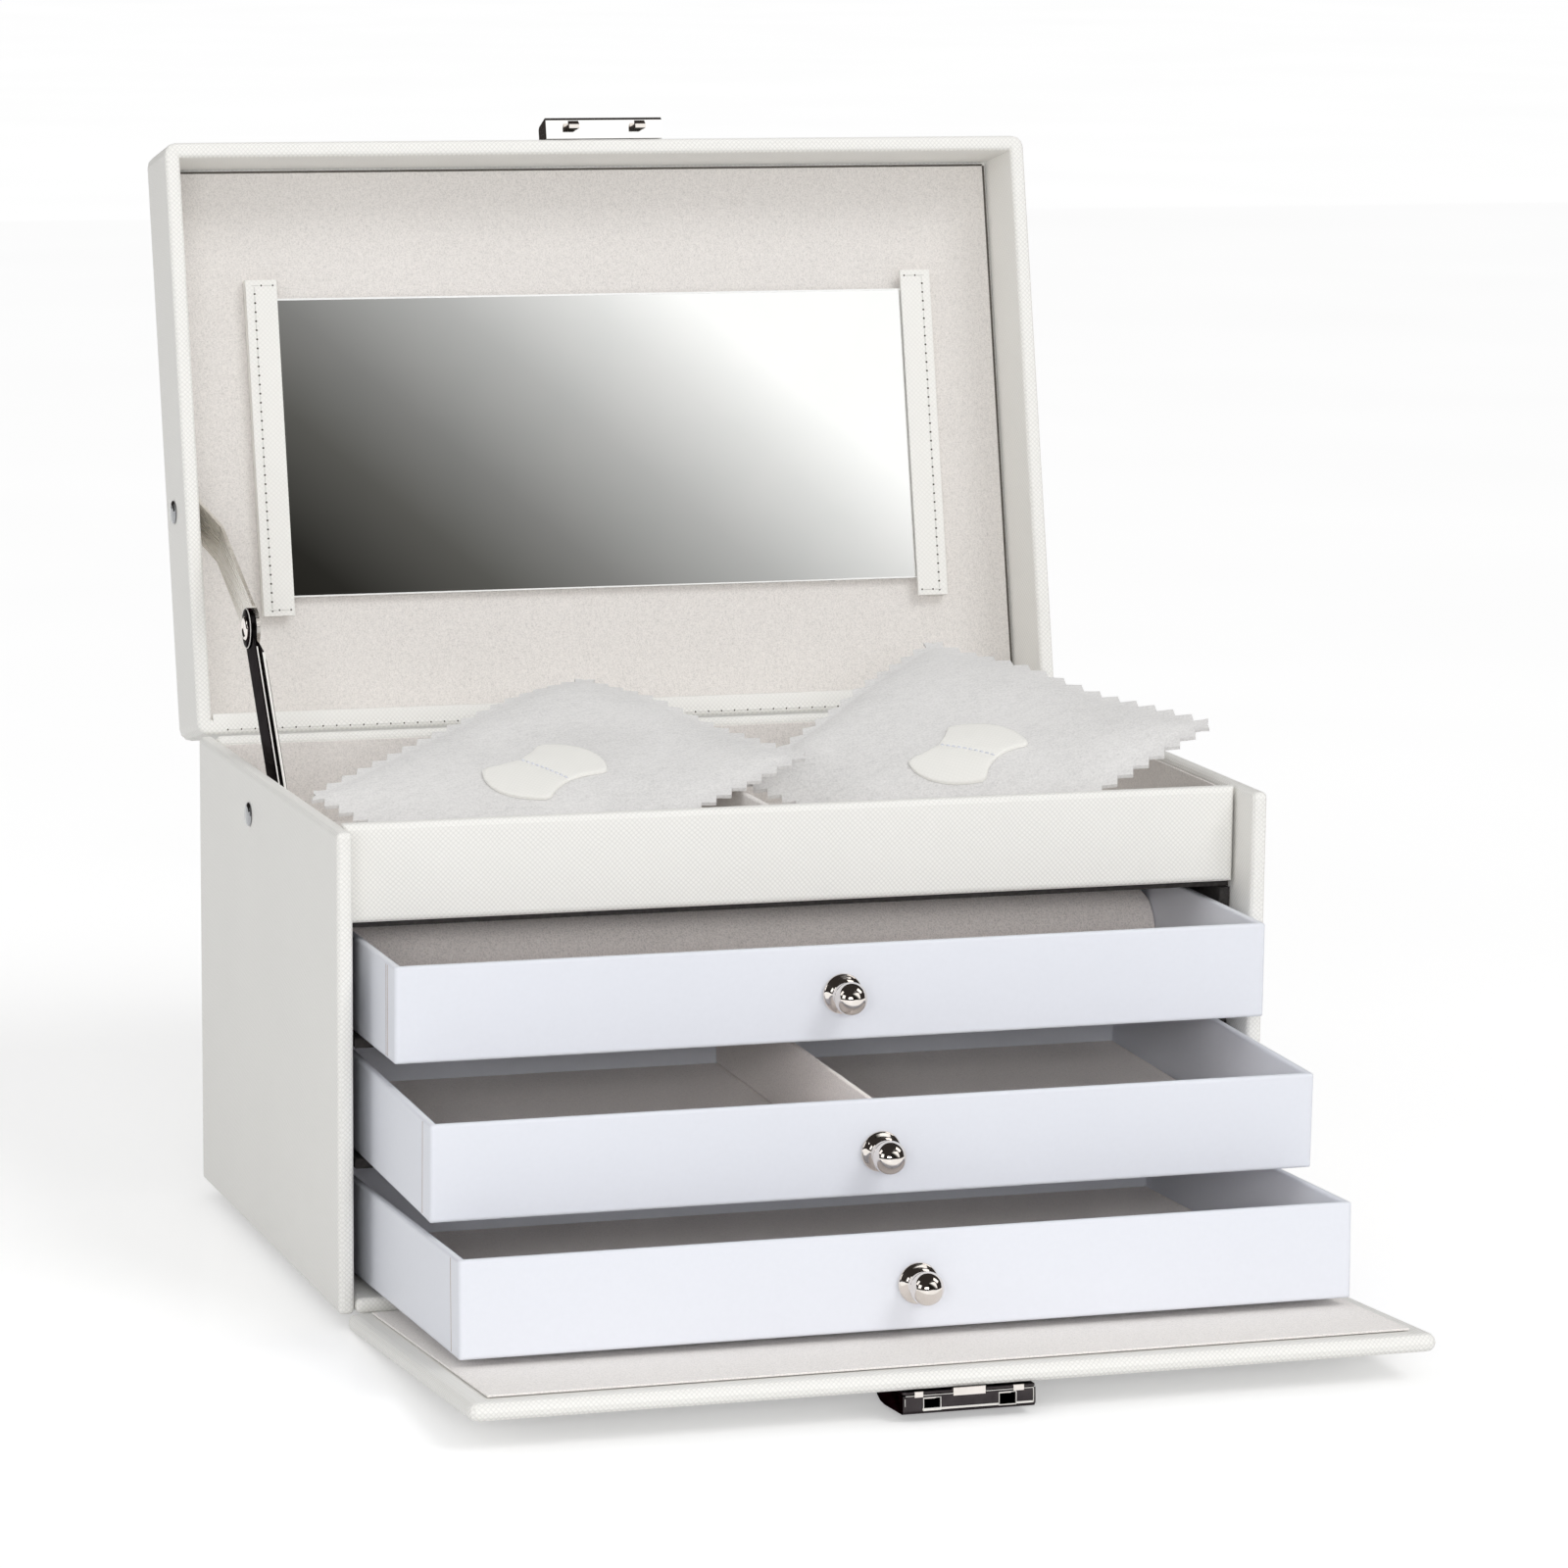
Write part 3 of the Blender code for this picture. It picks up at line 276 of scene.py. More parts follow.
def leatherette(name, base, depth=0.8, contrast=0.48):
    """Off-white leatherette embossed with a fine net of crossing slanted lines, with painted shade in the
    net's grooves.
    """
    paint = Paint(name)
    u, v = paint.face_plane()
    sway = paint.spread(paint.noise(90, 2.0), NOISE_LOW, NOISE_HIGH, -LEATHER_SWAY, LEATHER_SWAY)
    u = paint.math("ADD", u, sway)
    turn = math.pi / LEATHER_PITCH
    ridges = []
    for way in ("ADD", "SUBTRACT"):
        wave = paint.math("SINE", paint.math("MULTIPLY", paint.math(way, u, v), turn))
        ridges.append(paint.math("POWER", paint.math("ABSOLUTE", wave), 0.5))
    net = paint.math("MULTIPLY", *ridges)
    worn = paint.noise(2600, 2.0, 0.6)
    blotch = paint.noise(22, 3.0)
    # Painted shade: the net's grooves are coloured darker; the broad blotches are random tone.
    paint.colour(
        paint.total((net, 0.8), (blotch, 0.2)),
        (0.10, shade(base, 1 - 0.34 * contrast)),
        (0.55, shade(base, 1 - 0.10 * contrast)),
        (0.85, shade(base, 1 + 0.04 * contrast)),
    )
    paint.fill(paint.shader, Roughness=paint.spread(net, 0.0, 1.0, 0.62, 0.46))
    paint.bump(paint.total((net, 1.0), (worn, 0.25)), 0.45 * depth, 0.18 * MM)
    return paint.material


def flock(name, base, contrast=0.12, sheen=0.25, nap=0.5, tint=(1.0, 0.97, 0.94, 1)):
    """Short velvet pile, finely speckled and faintly brushed."""
    paint = Paint(name, Roughness=0.95, Sheen_Weight=sheen, Sheen_Roughness=0.5, Sheen_Tint=tint)
    pile = paint.noise(2300, 2.0, 0.6)
    brushed = paint.noise(1300, 2.0, 0.5, stretch=(1, 1, 0.6))
    broad = paint.noise(14, 2.0)
    paint.colour(
        paint.total((pile, 0.68), (brushed, 0.25), (broad, 0.07)),
        (0.30, shade(base, 1 - 2 * contrast)),
        (0.50, shade(base, 1 - 0.4 * contrast)),
        (0.68, shade(base, 1 + 0.5 * contrast)),
    )
    paint.bump(pile, nap, 0.25 * MM)
    return paint.material


def pouch_cloth():
    """Soft brushed cloth: fine fibres, faint streaks and broad tone."""
    paint = Paint("pouch_cloth", Roughness=0.95, Sheen_Weight=0.3, Sheen_Roughness=0.4)
    base = (0.755, 0.745, 0.735)
    fibre = paint.noise(1500, 4.0, 0.7)
    streaks = paint.noise(260, 3.0, 0.6, stretch=(1, 2.5, 1))
    broad = paint.noise(35, 2.0)
    tone = paint.total((fibre, 0.62), (streaks, 0.18), (broad, 0.20))
    paint.colour(tone, (0.32, shade(base, 0.80)), (0.5, base), (0.68, shade(base, 1.14)))
    paint.bump(fibre, 0.5, 0.25 * MM)
    return paint.material


def drawer_paper():
    """Smooth bluish-white paper, with the drawers' edges rounded in its shading."""
    paint = Paint("drawer_paper")
    base = (0.83, 0.85, 0.91)
    fibre = paint.noise(700, 3.0, 0.6)
    broad = paint.noise(9, 2.0)
    paint.two_tone(paint.total((fibre, 0.3), (broad, 0.7)), shade(base, 0.97), shade(base, 1.02))
    paint.roughness(broad, 0.40, 0.50)
    rounded = paint.fill(paint.node("Bevel", samples=4), Radius=1.3 * MM)
    paint.bump(fibre, 0.08, 0.05 * MM, Normal=rounded.outputs[0])
    return paint.material


def metal(name, bright, dull, low, high, edge=1.0, share=1.0):
    """Plated metal with faint smears and fine scratches; edge sets how far it brightens when seen flat."""
    paint = Paint(name, Metallic=share, Specular_Tint=(edge, edge, edge, 1))
    smear = paint.noise(160, 3.0, 0.6)
    paint.two_tone(smear, dull, bright)
    paint.roughness(smear, low, high)
    paint.bump(paint.noise(900, 2.0, 0.5, stretch=(1, 12, 1)), 0.05, 0.02 * MM)
    return paint.material


def brushed_nickel():
    """Pale warm nickel with fine lines brushed across the stay's strip."""
    paint = Paint("brushed_nickel", Metallic=1.0)
    x, y, z = paint.separate(paint.coordinates)
    stretch, lean = 9.0, 0.35
    along = paint.total((z, stretch), (y, -stretch * lean))
    lines = paint.node("CombineXYZ", (along, x, 0.0)).outputs[0]
    grain = paint.noise(260, 3.0, 0.6, vector=lines)
    paint.colour(grain, (0.3, (0.68, 0.64, 0.59)), (0.55, (0.83, 0.80, 0.75)), (0.75, (0.93, 0.91, 0.87)))
    paint.roughness(grain, 0.22, 0.34)
    paint.bump(grain, 0.25, 0.03 * MM)
    return paint.material


def mirror_glass():
    """Silvered glass with a trace of smears."""
    paint = Paint("mirror", Metallic=1.0)
    smear = paint.noise(30, 3.0, 0.6)
    paint.two_tone(smear, (0.90, 0.91, 0.90), (0.93, 0.93, 0.92))
    paint.roughness(smear, 0.008, 0.02)
    return paint.material


def glass_edge_highlight():
    """The ground edge of the mirror's glass: pale glass, brightened as a painted highlight."""
    paint = Paint("glass_edge_highlight", Roughness=0.25)
    paint.two_tone(paint.noise(900, 2.0), (0.93, 0.94, 0.93), (0.98, 0.98, 0.97))
    return paint.material


def black_card():
    """Dull black card, which lines the drawers' bays."""
    paint = Paint("black_card", Roughness=0.85)
    fibre = paint.noise(900, 4.0, 0.7)
    paint.two_tone(fibre, (0.020, 0.018, 0.017), (0.055, 0.050, 0.048))
    paint.bump(fibre, 0.3, 0.1 * MM)
    return paint.material


def rubber():
    paint = Paint("foot_rubber", Roughness=0.7)
    grain = paint.noise(1200, 3.0)
    paint.two_tone(grain, (0.03, 0.03, 0.03), (0.07, 0.07, 0.07))
    paint.bump(grain, 0.3, 0.1 * MM)
    return paint.material


def thread(name, base):
    """Twisted sewing thread, also for the drawn edge of the drawers' paper."""
    paint = Paint(name, Roughness=0.8)
    twist = paint.noise(5000, 2.0)
    paint.two_tone(twist, shade(base, 0.85), base)
    paint.bump(twist, 0.4, 0.05 * MM)
    return paint.material


def needle_hole_shade():
    """Painted shade: the dark inside of a needle's hole or of a narrow slit."""
    paint = Paint("needle_hole_shade", Roughness=0.9)
    paint.two_tone(paint.noise(3000, 2.0), (0.07, 0.06, 0.05), (0.13, 0.12, 0.105))
    return paint.material


def make_materials():
    drawer_pile = {"contrast": 0.16, "sheen": 1.0, "nap": 1.0, "tint": (1.0, 0.94, 0.90, 1)}
    dark = ((0.070, 0.061, 0.063), (0.045, 0.039, 0.041))
    return {
        "leatherette": leatherette("leatherette", (0.93, 0.92, 0.885)),
        "strap": leatherette("strap_leatherette", (0.91, 0.90, 0.865), depth=0.4, contrast=0.25),
        "tab": leatherette("tab_leatherette", (0.90, 0.89, 0.85), depth=0.3, contrast=0.12),
        "pale_flock": flock("pale_flock", (0.93, 0.895, 0.865)),
        "flock": flock("flock", (0.84, 0.805, 0.775)),
        # A brighter copy of the velvet for the drawers' linings, divider and rolls: painted light where
        # little light reaches into the drawers.
        "drawer_flock_painted_light": flock("drawer_flock_painted_light", (1.0, 0.935, 0.90), **drawer_pile),
        "drawer_paper": drawer_paper(),
        "black_card": black_card(),
        "nickel": metal("nickel", (0.88, 0.83, 0.79), (0.80, 0.75, 0.70), 0.05, 0.09),
        "catch_plate": metal("catch_plate", (0.98, 0.97, 0.96), (0.94, 0.93, 0.92), 0.04, 0.08),
        "dark_chrome": metal("dark_chrome", *dark, 0.08, 0.14, edge=0.3),
        "steel": metal("steel", (0.42, 0.43, 0.44), (0.30, 0.31, 0.32), 0.10, 0.18),
        # Pale half-metal for plates of painted highlight on the stay and the lock.
        "painted_highlight": metal("painted_highlight", (0.93, 0.91, 0.87), (0.82, 0.80, 0.76), 0.30, 0.42, share=0.35),
        "brushed": brushed_nickel(),
        "mirror": mirror_glass(),
        "pouch_cloth": pouch_cloth(),
        "foot_rubber": rubber(),
        "thread": thread("thread", (0.80, 0.79, 0.76)),
        "tab_thread": thread("tab_thread", (0.78, 0.80, 0.86)),
        "hole": needle_hole_shade(),
        "seam": thread("seam", (0.50, 0.40, 0.36)),
        "glass_edge_highlight": glass_edge_highlight(),
    }


materials = make_materials()

# Nodes whose material isn't the one that their slot names
SPECIAL_COVERS = {
    "mirror_strap_left": "strap",
    "mirror_strap_right": "strap",
    "lid_hinge_strip": "strap",
    "body_rivet": "steel",
    "lid_rivet": "steel",
    "stay_upper_link": "brushed",
    "lid_catch": "catch_plate",
    "flap_lining": "pale_flock",
    "drawer_1_lining": "drawer_flock_painted_light",
    "drawer_2_lining": "drawer_flock_painted_light",
    "drawer_2_divider": "drawer_flock_painted_light",
    "drawer_3_lining": "drawer_flock_painted_light",
}


def dress_cad():
    """Gives every slot of the solids its material."""
    for row in frame["record"]["subparts"]:
        piece = frame["nodes"][row["node"]]
        for place in piece.material_slots:
            place.material = materials[SPECIAL_COVERS.get(row["node"], row["material_slot"])]


SHARP_ANGLE = math.radians(40)


def finished(name, shape, paint, body, slot_name, smooth=True):
    """The piece that a mesh in the making becomes, riding a body; its slot_name is not used."""
    bmesh.ops.recalc_face_normals(shape, faces=shape.faces)
    data = bpy.data.meshes.new(name)
    shape.to_mesh(data)
    shape.free()
    if smooth:
        data.shade_smooth()
        data.set_sharp_from_angle(angle=SHARP_ANGLE)
    data.materials.append(materials[paint])
    made = add(name, data)
    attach(made, body)
    return made


def skin(shape, rings, capped=True):
    """A tube through closed rings of points, with a face over each end."""
    rows = [[shape.verts.new(point) for point in ring] for ring in rings]
    for low, high in zip(rows, rows[1:]):
        for i in range(len(low)):
            k = (i + 1) % len(low)
            shape.faces.new((low[i], low[k], high[k], high[i]))
    if capped:
        shape.faces.new(rows[0])
        shape.faces.new(rows[-1])
    return rows


def fan(shape, ring, tip):
    """Faces from a ring to one point."""
    for i in range(len(ring)):
        shape.faces.new((ring[i], ring[(i + 1) % len(ring)], tip))


def weave(shape, grid):
    """Faces between the points of a grid."""
    for near, far in zip(grid, grid[1:]):
        for j in range(len(near) - 1):
            shape.faces.new((near[j], far[j], far[j + 1], near[j + 1]))


def tube(name, rings, paint, body, slot_name, smooth=True):
    """A piece that is one closed tube through some rings."""
    shape = bmesh.new()
    skin(shape, rings)
    return finished(name, shape, paint, body, slot_name, smooth)


SLAB_EASE = 0.3
SLAB_ROOT = -0.2


def slab(name, corners, way, thickness, paint, body, slot_name):
    """A thin raised piece over four corners, with its outer edges eased."""
    centre = sum(corners, Vector()) / len(corners)
    inset = min(SLAB_EASE, thickness / 2)
    rings = []
    for lift, share in ((SLAB_ROOT, 0), (thickness - inset, 0), (thickness, inset)):
        ring = []
        for corner in corners:
            ring.append(corner + way * lift * MM - (corner - centre).normalized() * share * MM)
        rings.append(ring)
    return tube(name, rings, paint, body, slot_name, smooth=False)


def patch(place, across, along):
    """Four corners that a place function gives for a span across and a span along."""
    (left, right), (low, high) = across, along
    return [place(left, low), place(right, low), place(right, high), place(left, high)]


def revolve(name, profile, spot, paint, body, slot_name, steps=40):
    """Spins (radius, level) points about an axis; spot turns two offsets and a level into a place."""
    rings = []
    for reach, level in profile:
        rings.append([spot(reach * cos, reach * sin, level) for cos, sin in circle(steps)])
    shape = bmesh.new()
    rows = skin(shape, rings, capped=False)
    for ring, (_, level) in ((rows[0], profile[0]), (rows[-1], profile[-1])):
        fan(shape, ring, shape.verts.new(spot(0, 0, level)))
    return finished(name, shape, paint, body, slot_name)


# Stitching
THREAD_SECTIONS = 6
THREAD_SIDES = 8
THREAD_SINK = 0.75
THREAD_TIP = 0.35
HOLE_SIDES = 10
HOLE_SHARE = 1 / 2.4
HOLE_LIFT = (0.03, 0.05)


def walker(line):
    """The length of a line of points, and a function that gives the place at a distance along it."""
    spans = [(b - a).length for a, b in zip(line, line[1:])]
    total = sum(spans)

    def along(distance):
        distance = min(max(distance, 0), total)
        for a, b, span in zip(line, line[1:], spans):
            if distance <= span:
                return a + (b - a) * (distance / span)
            distance -= span
        return line[-1]

    return total, along


def thread_rings(start, end, across, normal, radius):
    """Rings along one short thread, which arches up from the cover and thins where it dips in."""
    rings = []
    for share in frange(0, 1, THREAD_SECTIONS):
        arch = math.sin(math.pi * share) ** 0.5
        centre = start + (end - start) * share + normal * radius * MM * (arch - THREAD_SINK)
        thick = radius * MM * (THREAD_TIP + (1 - THREAD_TIP) * arch)
        sides = circle(THREAD_SIDES)
        rings.append([centre + across * thick * cos + normal * thick * sin for cos, sin in sides])
    return rings


def pit(shape, centre, way, across, normal, wide):
    """A needle's hole, as a flat dot of painted shade."""
    low, high = (normal * lift * MM for lift in HOLE_LIFT)
    ring = []
    for cos, sin in circle(HOLE_SIDES):
        spot = way * cos * wide + across * sin * wide
        ring.append(shape.verts.new(centre + spot + low))
    fan(shape, ring, shape.verts.new(centre + high))


def stitches(name, line, normal, body, length, gap, radius, paint="thread", holes=True):
    """A sewn line as short threads that dip into the cover between holes, along a list of points."""
    total, along = walker(line)
    count = max(int(total / ((length + gap) * MM)), 1)
    pitch = total / count
    half_gap = gap * MM / 2
    threads = bmesh.new()
    pits = bmesh.new()
    for index in range(count):
        start = along(index * pitch + half_gap)
        end = along((index + 1) * pitch - half_gap)
        way = (end - start).normalized()
        across = way.cross(normal).normalized()
        skin(threads, thread_rings(start, end, across, normal, radius))
        if holes:
            pit(pits, along(index * pitch), way, across, normal, gap * MM * HOLE_SHARE)
    made = finished(name, threads, paint, body, "leatherette")
    if holes:
        # The holes' dots are painted shade.
        finished(name + "_holes", pits, "hole", body, "leatherette")
    else:
        pits.free()
    return made


# The mirror's straps, and where they and the hinge strip are sewn, in the lid's millimetres
MIRROR_REACH = (41.6, 131.6)
STRAP_INNER = 99
STRAP_WIDTH = 9.5
STRAP_FACE = 19.68
STRAP_SEAM_INSET = 2.6
STRAP_SEAM_OVER = 4
STRAP_END_OVER = 3.8
STRAP_END_INSET = 1.2
HINGE_SEAM = (126, 1.3, -0.01)


def stitching():
    into = lid_way(0, 0, -1)
    low, high = MIRROR_REACH
    for name, side in SIDES:
        inner = side * STRAP_INNER
        outer = inner + side * STRAP_WIDTH
        x = outer - side * STRAP_SEAM_INSET
        line = [lid_point(x, reach, STRAP_FACE) for reach in (low - STRAP_SEAM_OVER, high + STRAP_SEAM_OVER)]
        stitches(f"strap_stitching_{name}", line, into, "lid", length=1.9, gap=0.8, radius=0.17)
        ends = (inner + side * STRAP_END_INSET, outer - side * STRAP_END_INSET)
        for tag, reach in (("low", low - STRAP_END_OVER), ("high", high + STRAP_END_OVER)):
            line = [lid_point(x, reach, STRAP_FACE) for x in ends]
            stitches(f"strap_end_stitching_{name}_{tag}", line, into, "lid", length=2.0, gap=0.7, radius=0.17)
    half, reach, depth = HINGE_SEAM
    line = [lid_point(x, reach, depth) for x in (-half, half)]
    stitches("hinge_stitching", line, into, "lid", length=3.45, gap=0.65, radius=0.12)


# Pouches: the corners back, right, left and front, and the teeth towards the right and the left corner.
# The back corner curls down, and the edge from back to right droops
POUCHES = {
    "left": {
        "corners": ((-26.7, 50, 162.2), (14, -45, 147.2), (-127.5, -14, 135.5), (-78, -65.5, 112.8)),
        "teeth": (15, 19),
        "curl": 5.0,
        "droop": 3.2,
        "ripple_start": 3.7,
    },
    "right": {
        "corners": ((78.5, 42, 168), (129.2, -63, 154.7), (-4, -22.5, 136), (52, -65.5, 112.8)),
        "teeth": (16, 16),
        "curl": 2.0,
        "droop": 2.0,
        "ripple_start": 9.1,
    },
}
TOOTH_DEPTH = 3.2
TOOTH_STEPS = 4
SEAM_INSET = 5.2
RIM_ROWS = (0, TOOTH_DEPTH + 0.3, SEAM_INSET - 0.4, SEAM_INSET + 0.5)
POUCH_HEM = 0.5
POUCH_PUFF = 1.7
PUFF_REACH = 5.0
BELLY = 3.0
BELLY_WAVE = 1.2
RIPPLE = 0.9
RIPPLES = 4
CURL_REACH = 0.45


def tooth(step):
    """How far a rim point at this step is drawn in, in millimetres."""
    return TOOTH_DEPTH * abs(1 - 2 * (step % TOOTH_STEPS) / TOOTH_STEPS)


def squeeze(piece):
    """Gives a piece on the tray its own copy of its mesh."""
    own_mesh(piece)


class Pouch:
    """A pinked cloth pouch, as a surface over two shares that run to its right and its left corner."""

    def __init__(self, side):
        facts = POUCHES[side]
        self.side = side
        self.corners = [case_point(*corner) for corner in facts["corners"]]
        self.counts = [teeth * TOOTH_STEPS for teeth in facts["teeth"]]
        self.curl = facts["curl"] * MM
        self.droop = facts["droop"] * MM
        self.ripple_start = facts["ripple_start"]
        back, right, left, front = self.corners
        self.width = (right - back).length
        self.length = (left - back).length
        self.flat = ((self.width + (front - left).length) / 2, (self.length + (front - right).length) / 2)
        normal = (right - back).cross(left - back).normalized()
        self.normal = normal if normal.z > 0 else -normal

    def middle(self, u, v):
        """A place in the middle of the cloth, bulged, rippled, curled and drooping."""
        back, right, left, front = self.corners
        flat = back * (1 - u) * (1 - v) + right * u * (1 - v) + left * (1 - u) * v + front * u * v
        bow_u = math.sin(math.pi * min(max(u, 0), 1))
        bow_v = math.sin(math.pi * min(max(v, 0), 1))
        lift = (BELLY + BELLY_WAVE * math.sin(math.tau * (u + v))) * MM * bow_u * bow_v
        lift += RIPPLE * MM * noise.noise(Vector((RIPPLES * u, RIPPLES * v, self.ripple_start)))
        lift -= self.curl * smoothstep(1 - (u + v) / CURL_REACH) ** 2
        lift -= self.droop * bow_u * max(1 - v, 0) ** 3
        return flat + Vector((0, 0, lift))

    def half_thickness(self, u, v):
        """Thin on the pinked rim, and puffed up inwards from the seam."""
        to_side = min(u, 1 - u) * self.width / MM
        to_end = min(v, 1 - v) * self.length / MM
        inwards = min(to_side, to_end) - SEAM_INSET
        if inwards <= 0:
            return POUCH_HEM * MM
        return (POUCH_HEM + POUCH_PUFF * (1 - math.exp(-inwards / PUFF_REACH))) * MM

    @staticmethod
    def row_share(step, count, size):
        """Share of the size at a row: the rim's rows lie at the tooth roots and at the seam."""
        if step < len(RIM_ROWS):
            return RIM_ROWS[step] / size
        if step > count - len(RIM_ROWS):
            return 1 - RIM_ROWS[count - step] / size
        first = len(RIM_ROWS) - 1
        share = (step - first) / (count - 2 * first)
        start = RIM_ROWS[-1] / size
        return start + share * (1 - 2 * start)

    def spot(self, i, j):
        """Shares of a grid point: rows crowd at the rim, where the outermost is cut into teeth."""
        count_u, count_v = self.counts
        width, length = self.width / MM, self.length / MM
        u = self.row_share(i, count_u, width)
        v = self.row_share(j, count_v, length)
        if i in (0, count_u):
            draw = tooth(j) / width
            u += draw if i == 0 else -draw
        if j in (0, count_v):
            draw = tooth(i) / length
            v += draw if j == 0 else -draw
        return u, v

    def layer(self, shape, side):
        """The upper or the lower cloth, as a grid of points with its faces."""
        count_u, count_v = self.counts
        grid = []
        for i in range(count_u + 1):
            row = []
            for j in range(count_v + 1):
                u, v = self.spot(i, j)
                lift = self.normal * side * self.half_thickness(u, v)
                row.append(shape.verts.new(self.middle(u, v) + lift))
            grid.append(row)
        weave(shape, grid)
        return grid

    def build(self):
        count_u, count_v = self.counts
        shape = bmesh.new()
        low, high = [self.layer(shape, side) for side in (-1, 1)]
        border = [(i, 0) for i in range(count_u)] + [(count_u, j) for j in range(count_v)]
        border += [(i, count_v) for i in range(count_u, 0, -1)] + [(0, j) for j in range(count_v, 0, -1)]
        for (i, j), (k, m) in zip(border, border[1:] + border[:1]):
            shape.faces.new((low[i][j], low[k][m], high[k][m], high[i][j]))
        made = finished("cloth_" + self.side, shape, "pouch_cloth", "case", "pouch_cloth")
        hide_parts("pouch_" + self.side)
        squeeze(made)


# Tabs: half widths and half lengths of the two lobes, and each tab's middle from its pouch's middle
TAB_WAIST = 11.7
TAB_CORNER = (16.0, 11.8)
TAB_TIP = 18.6
TAB_BOW = (0.9, 0.3)
TAB_SIDE_END = 0.9
TAB_SIDE_STEPS = 6
TAB_ARC_START = 0.93
TAB_ARC_STEPS = 10
TAB_THICKNESS = 1.1
TAB_PLACES = {"left": ((3.2, 8.0), 0.0), "right": ((9.4, 7.0), -9.0)}
TAB_PROFILE = ((0.03, 1), (0.25, 1), (0.5, 1), (0.75, 1), (0.93, 1), (0.98, 0.93), (1.0, 0.72), (1.0, 0.1))
TAB_GROOVE = (0.4, 1.6)
TAB_GROOVE_LEVEL = 0.5
TAB_SEAM_INSET = 0.6
TAB_SEAM_SINK = 0.3
TAB_SEAM_STEPS = 12


class Tab:
    """The two-lobed tab sewn on a pouch across its narrow waist."""

    def __init__(self, pouch):
        self.pouch = pouch
        self.centre, turn = TAB_PLACES[pouch.side]
        self.turn = math.radians(turn)

    def place(self, across, along, lift):
        """A point on the cloth from millimetres across and along the tab."""
        x = across * math.cos(self.turn) - along * math.sin(self.turn) + self.centre[0]
        y = across * math.sin(self.turn) + along * math.cos(self.turn) + self.centre[1]
        u = 0.5 + x * MM / self.pouch.width
        v = 0.5 + y * MM / self.pouch.length
        rise = self.pouch.half_thickness(u, v) + lift * MM
        return self.pouch.middle(u, v) + self.pouch.normal * rise

    @staticmethod
    def quarter():
        """The outline from the waist to a lobe's tip: a drawn-in side, an eased corner and a wide arc."""
        side, level = TAB_CORNER
        bow_in, bow_up = TAB_BOW
        points = []
        for share in frange(0, TAB_SIDE_END, TAB_SIDE_STEPS):
            bow = bow_in * math.sin(math.pi * share)
            across = TAB_WAIST + (side - TAB_WAIST) * share - bow
            points.append((across, level * share + bow_up * bow))
        middle = (TAB_TIP ** 2 - side ** 2 - level ** 2) / (2 * (TAB_TIP - level))
        radius = TAB_TIP - middle
        widest = math.atan2(side, level - middle)
        for share in frange(TAB_ARC_START, 0, TAB_ARC_STEPS):
            angle = widest * share
            points.append((radius * math.sin(angle), middle + radius * math.cos(angle)))
        return points

    def outline(self):
        quarter = self.quarter()
        half = quarter + [(-x, y) for x, y in reversed(quarter[:-1])]
        return half[:-1] + [(-x, -y) for x, y in half[:-1]]

    def build(self):
        depth, reach = TAB_GROOVE
        rings = []
        for share, level in TAB_PROFILE:
            ring = []
            for across, along in self.outline():
                along *= share
                groove = depth * math.exp(-(along / reach) ** 2) if level > TAB_GROOVE_LEVEL else 0
                ring.append(self.place(across * share, along, level * TAB_THICKNESS - groove))
            rings.append(ring)
        side = self.pouch.side
        made = tube("sewn_tab_" + side, rings, "tab", "case", "leatherette")
        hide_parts("pouch_tab_" + side)
        squeeze(made)
        half = TAB_WAIST - TAB_SEAM_INSET
        level = TAB_THICKNESS - TAB_SEAM_SINK
        line = [self.place(across, 0, level) for across in frange(-half, half, TAB_SEAM_STEPS)]
        sewn = {"length": 1.3, "gap": 0.35, "radius": 0.3, "paint": "tab_thread", "holes": False}
        squeeze(stitches("tab_stitching_" + side, line, self.pouch.normal, "case", **sewn))


# Drawers: the paper's drawn edge on their sides, from each front's face
DRAWER_SIDE = 125.25
SEAM_LEVELS = (0.8, 25.8)
SEAM_WIDTH = 0.3
SEAM_THICKNESS = 0.06
SEAM_BACKS = {1: (7.6, 9.2), 2: (7.9,), 3: (7.9,)}


def drawer_seams():
    """The paper's edge, wrapped round each drawer's front corners on to its sides."""
    for number, backs in SEAM_BACKS.items():
        for name, side in SIDES:

            def spot(back, level):
                return drawer_point(number, side * DRAWER_SIDE, back, level)

            for back in backs:
                corners = patch(spot, (back, back + SEAM_WIDTH), SEAM_LEVELS)
                label = f"drawer_{number}_seam_{name}_{round(back)}"
                way = Vector((side, 0, 0))
                slab(label, corners, way, SEAM_THICKNESS, "seam", f"drawer_{number}", "drawer_paper")


# Knobs: the turned profile as radius and level behind the front's face, then the head's dome
KNOB_PROFILE = (
    (3.0, 3.3), (3.0, 2.5), (1.4, 2.5), (1.4, -0.3), (5.1, -0.3), (5.5, -0.4), (5.7, -0.75),
    (5.6, -1.15), (5.25, -1.45), (4.6, -1.75), (4.0, -2.2), (3.5, -2.8), (3.15, -3.6), (3.0, -4.5),
    (3.05, -5.3), (3.3, -5.9), (3.75, -6.35), (4.25, -6.65), (4.52, -7.05), (4.6, -7.6),
)
KNOB_DOME = (4.6, -7.8, 4.6)
KNOB_DOME_STEPS = 13
KNOB_SIDES = 56
KNOB_SPOTS = {1: (0.7, 13.05), 2: (-0.3, 12.25), 3: (0.6, 12.45)}


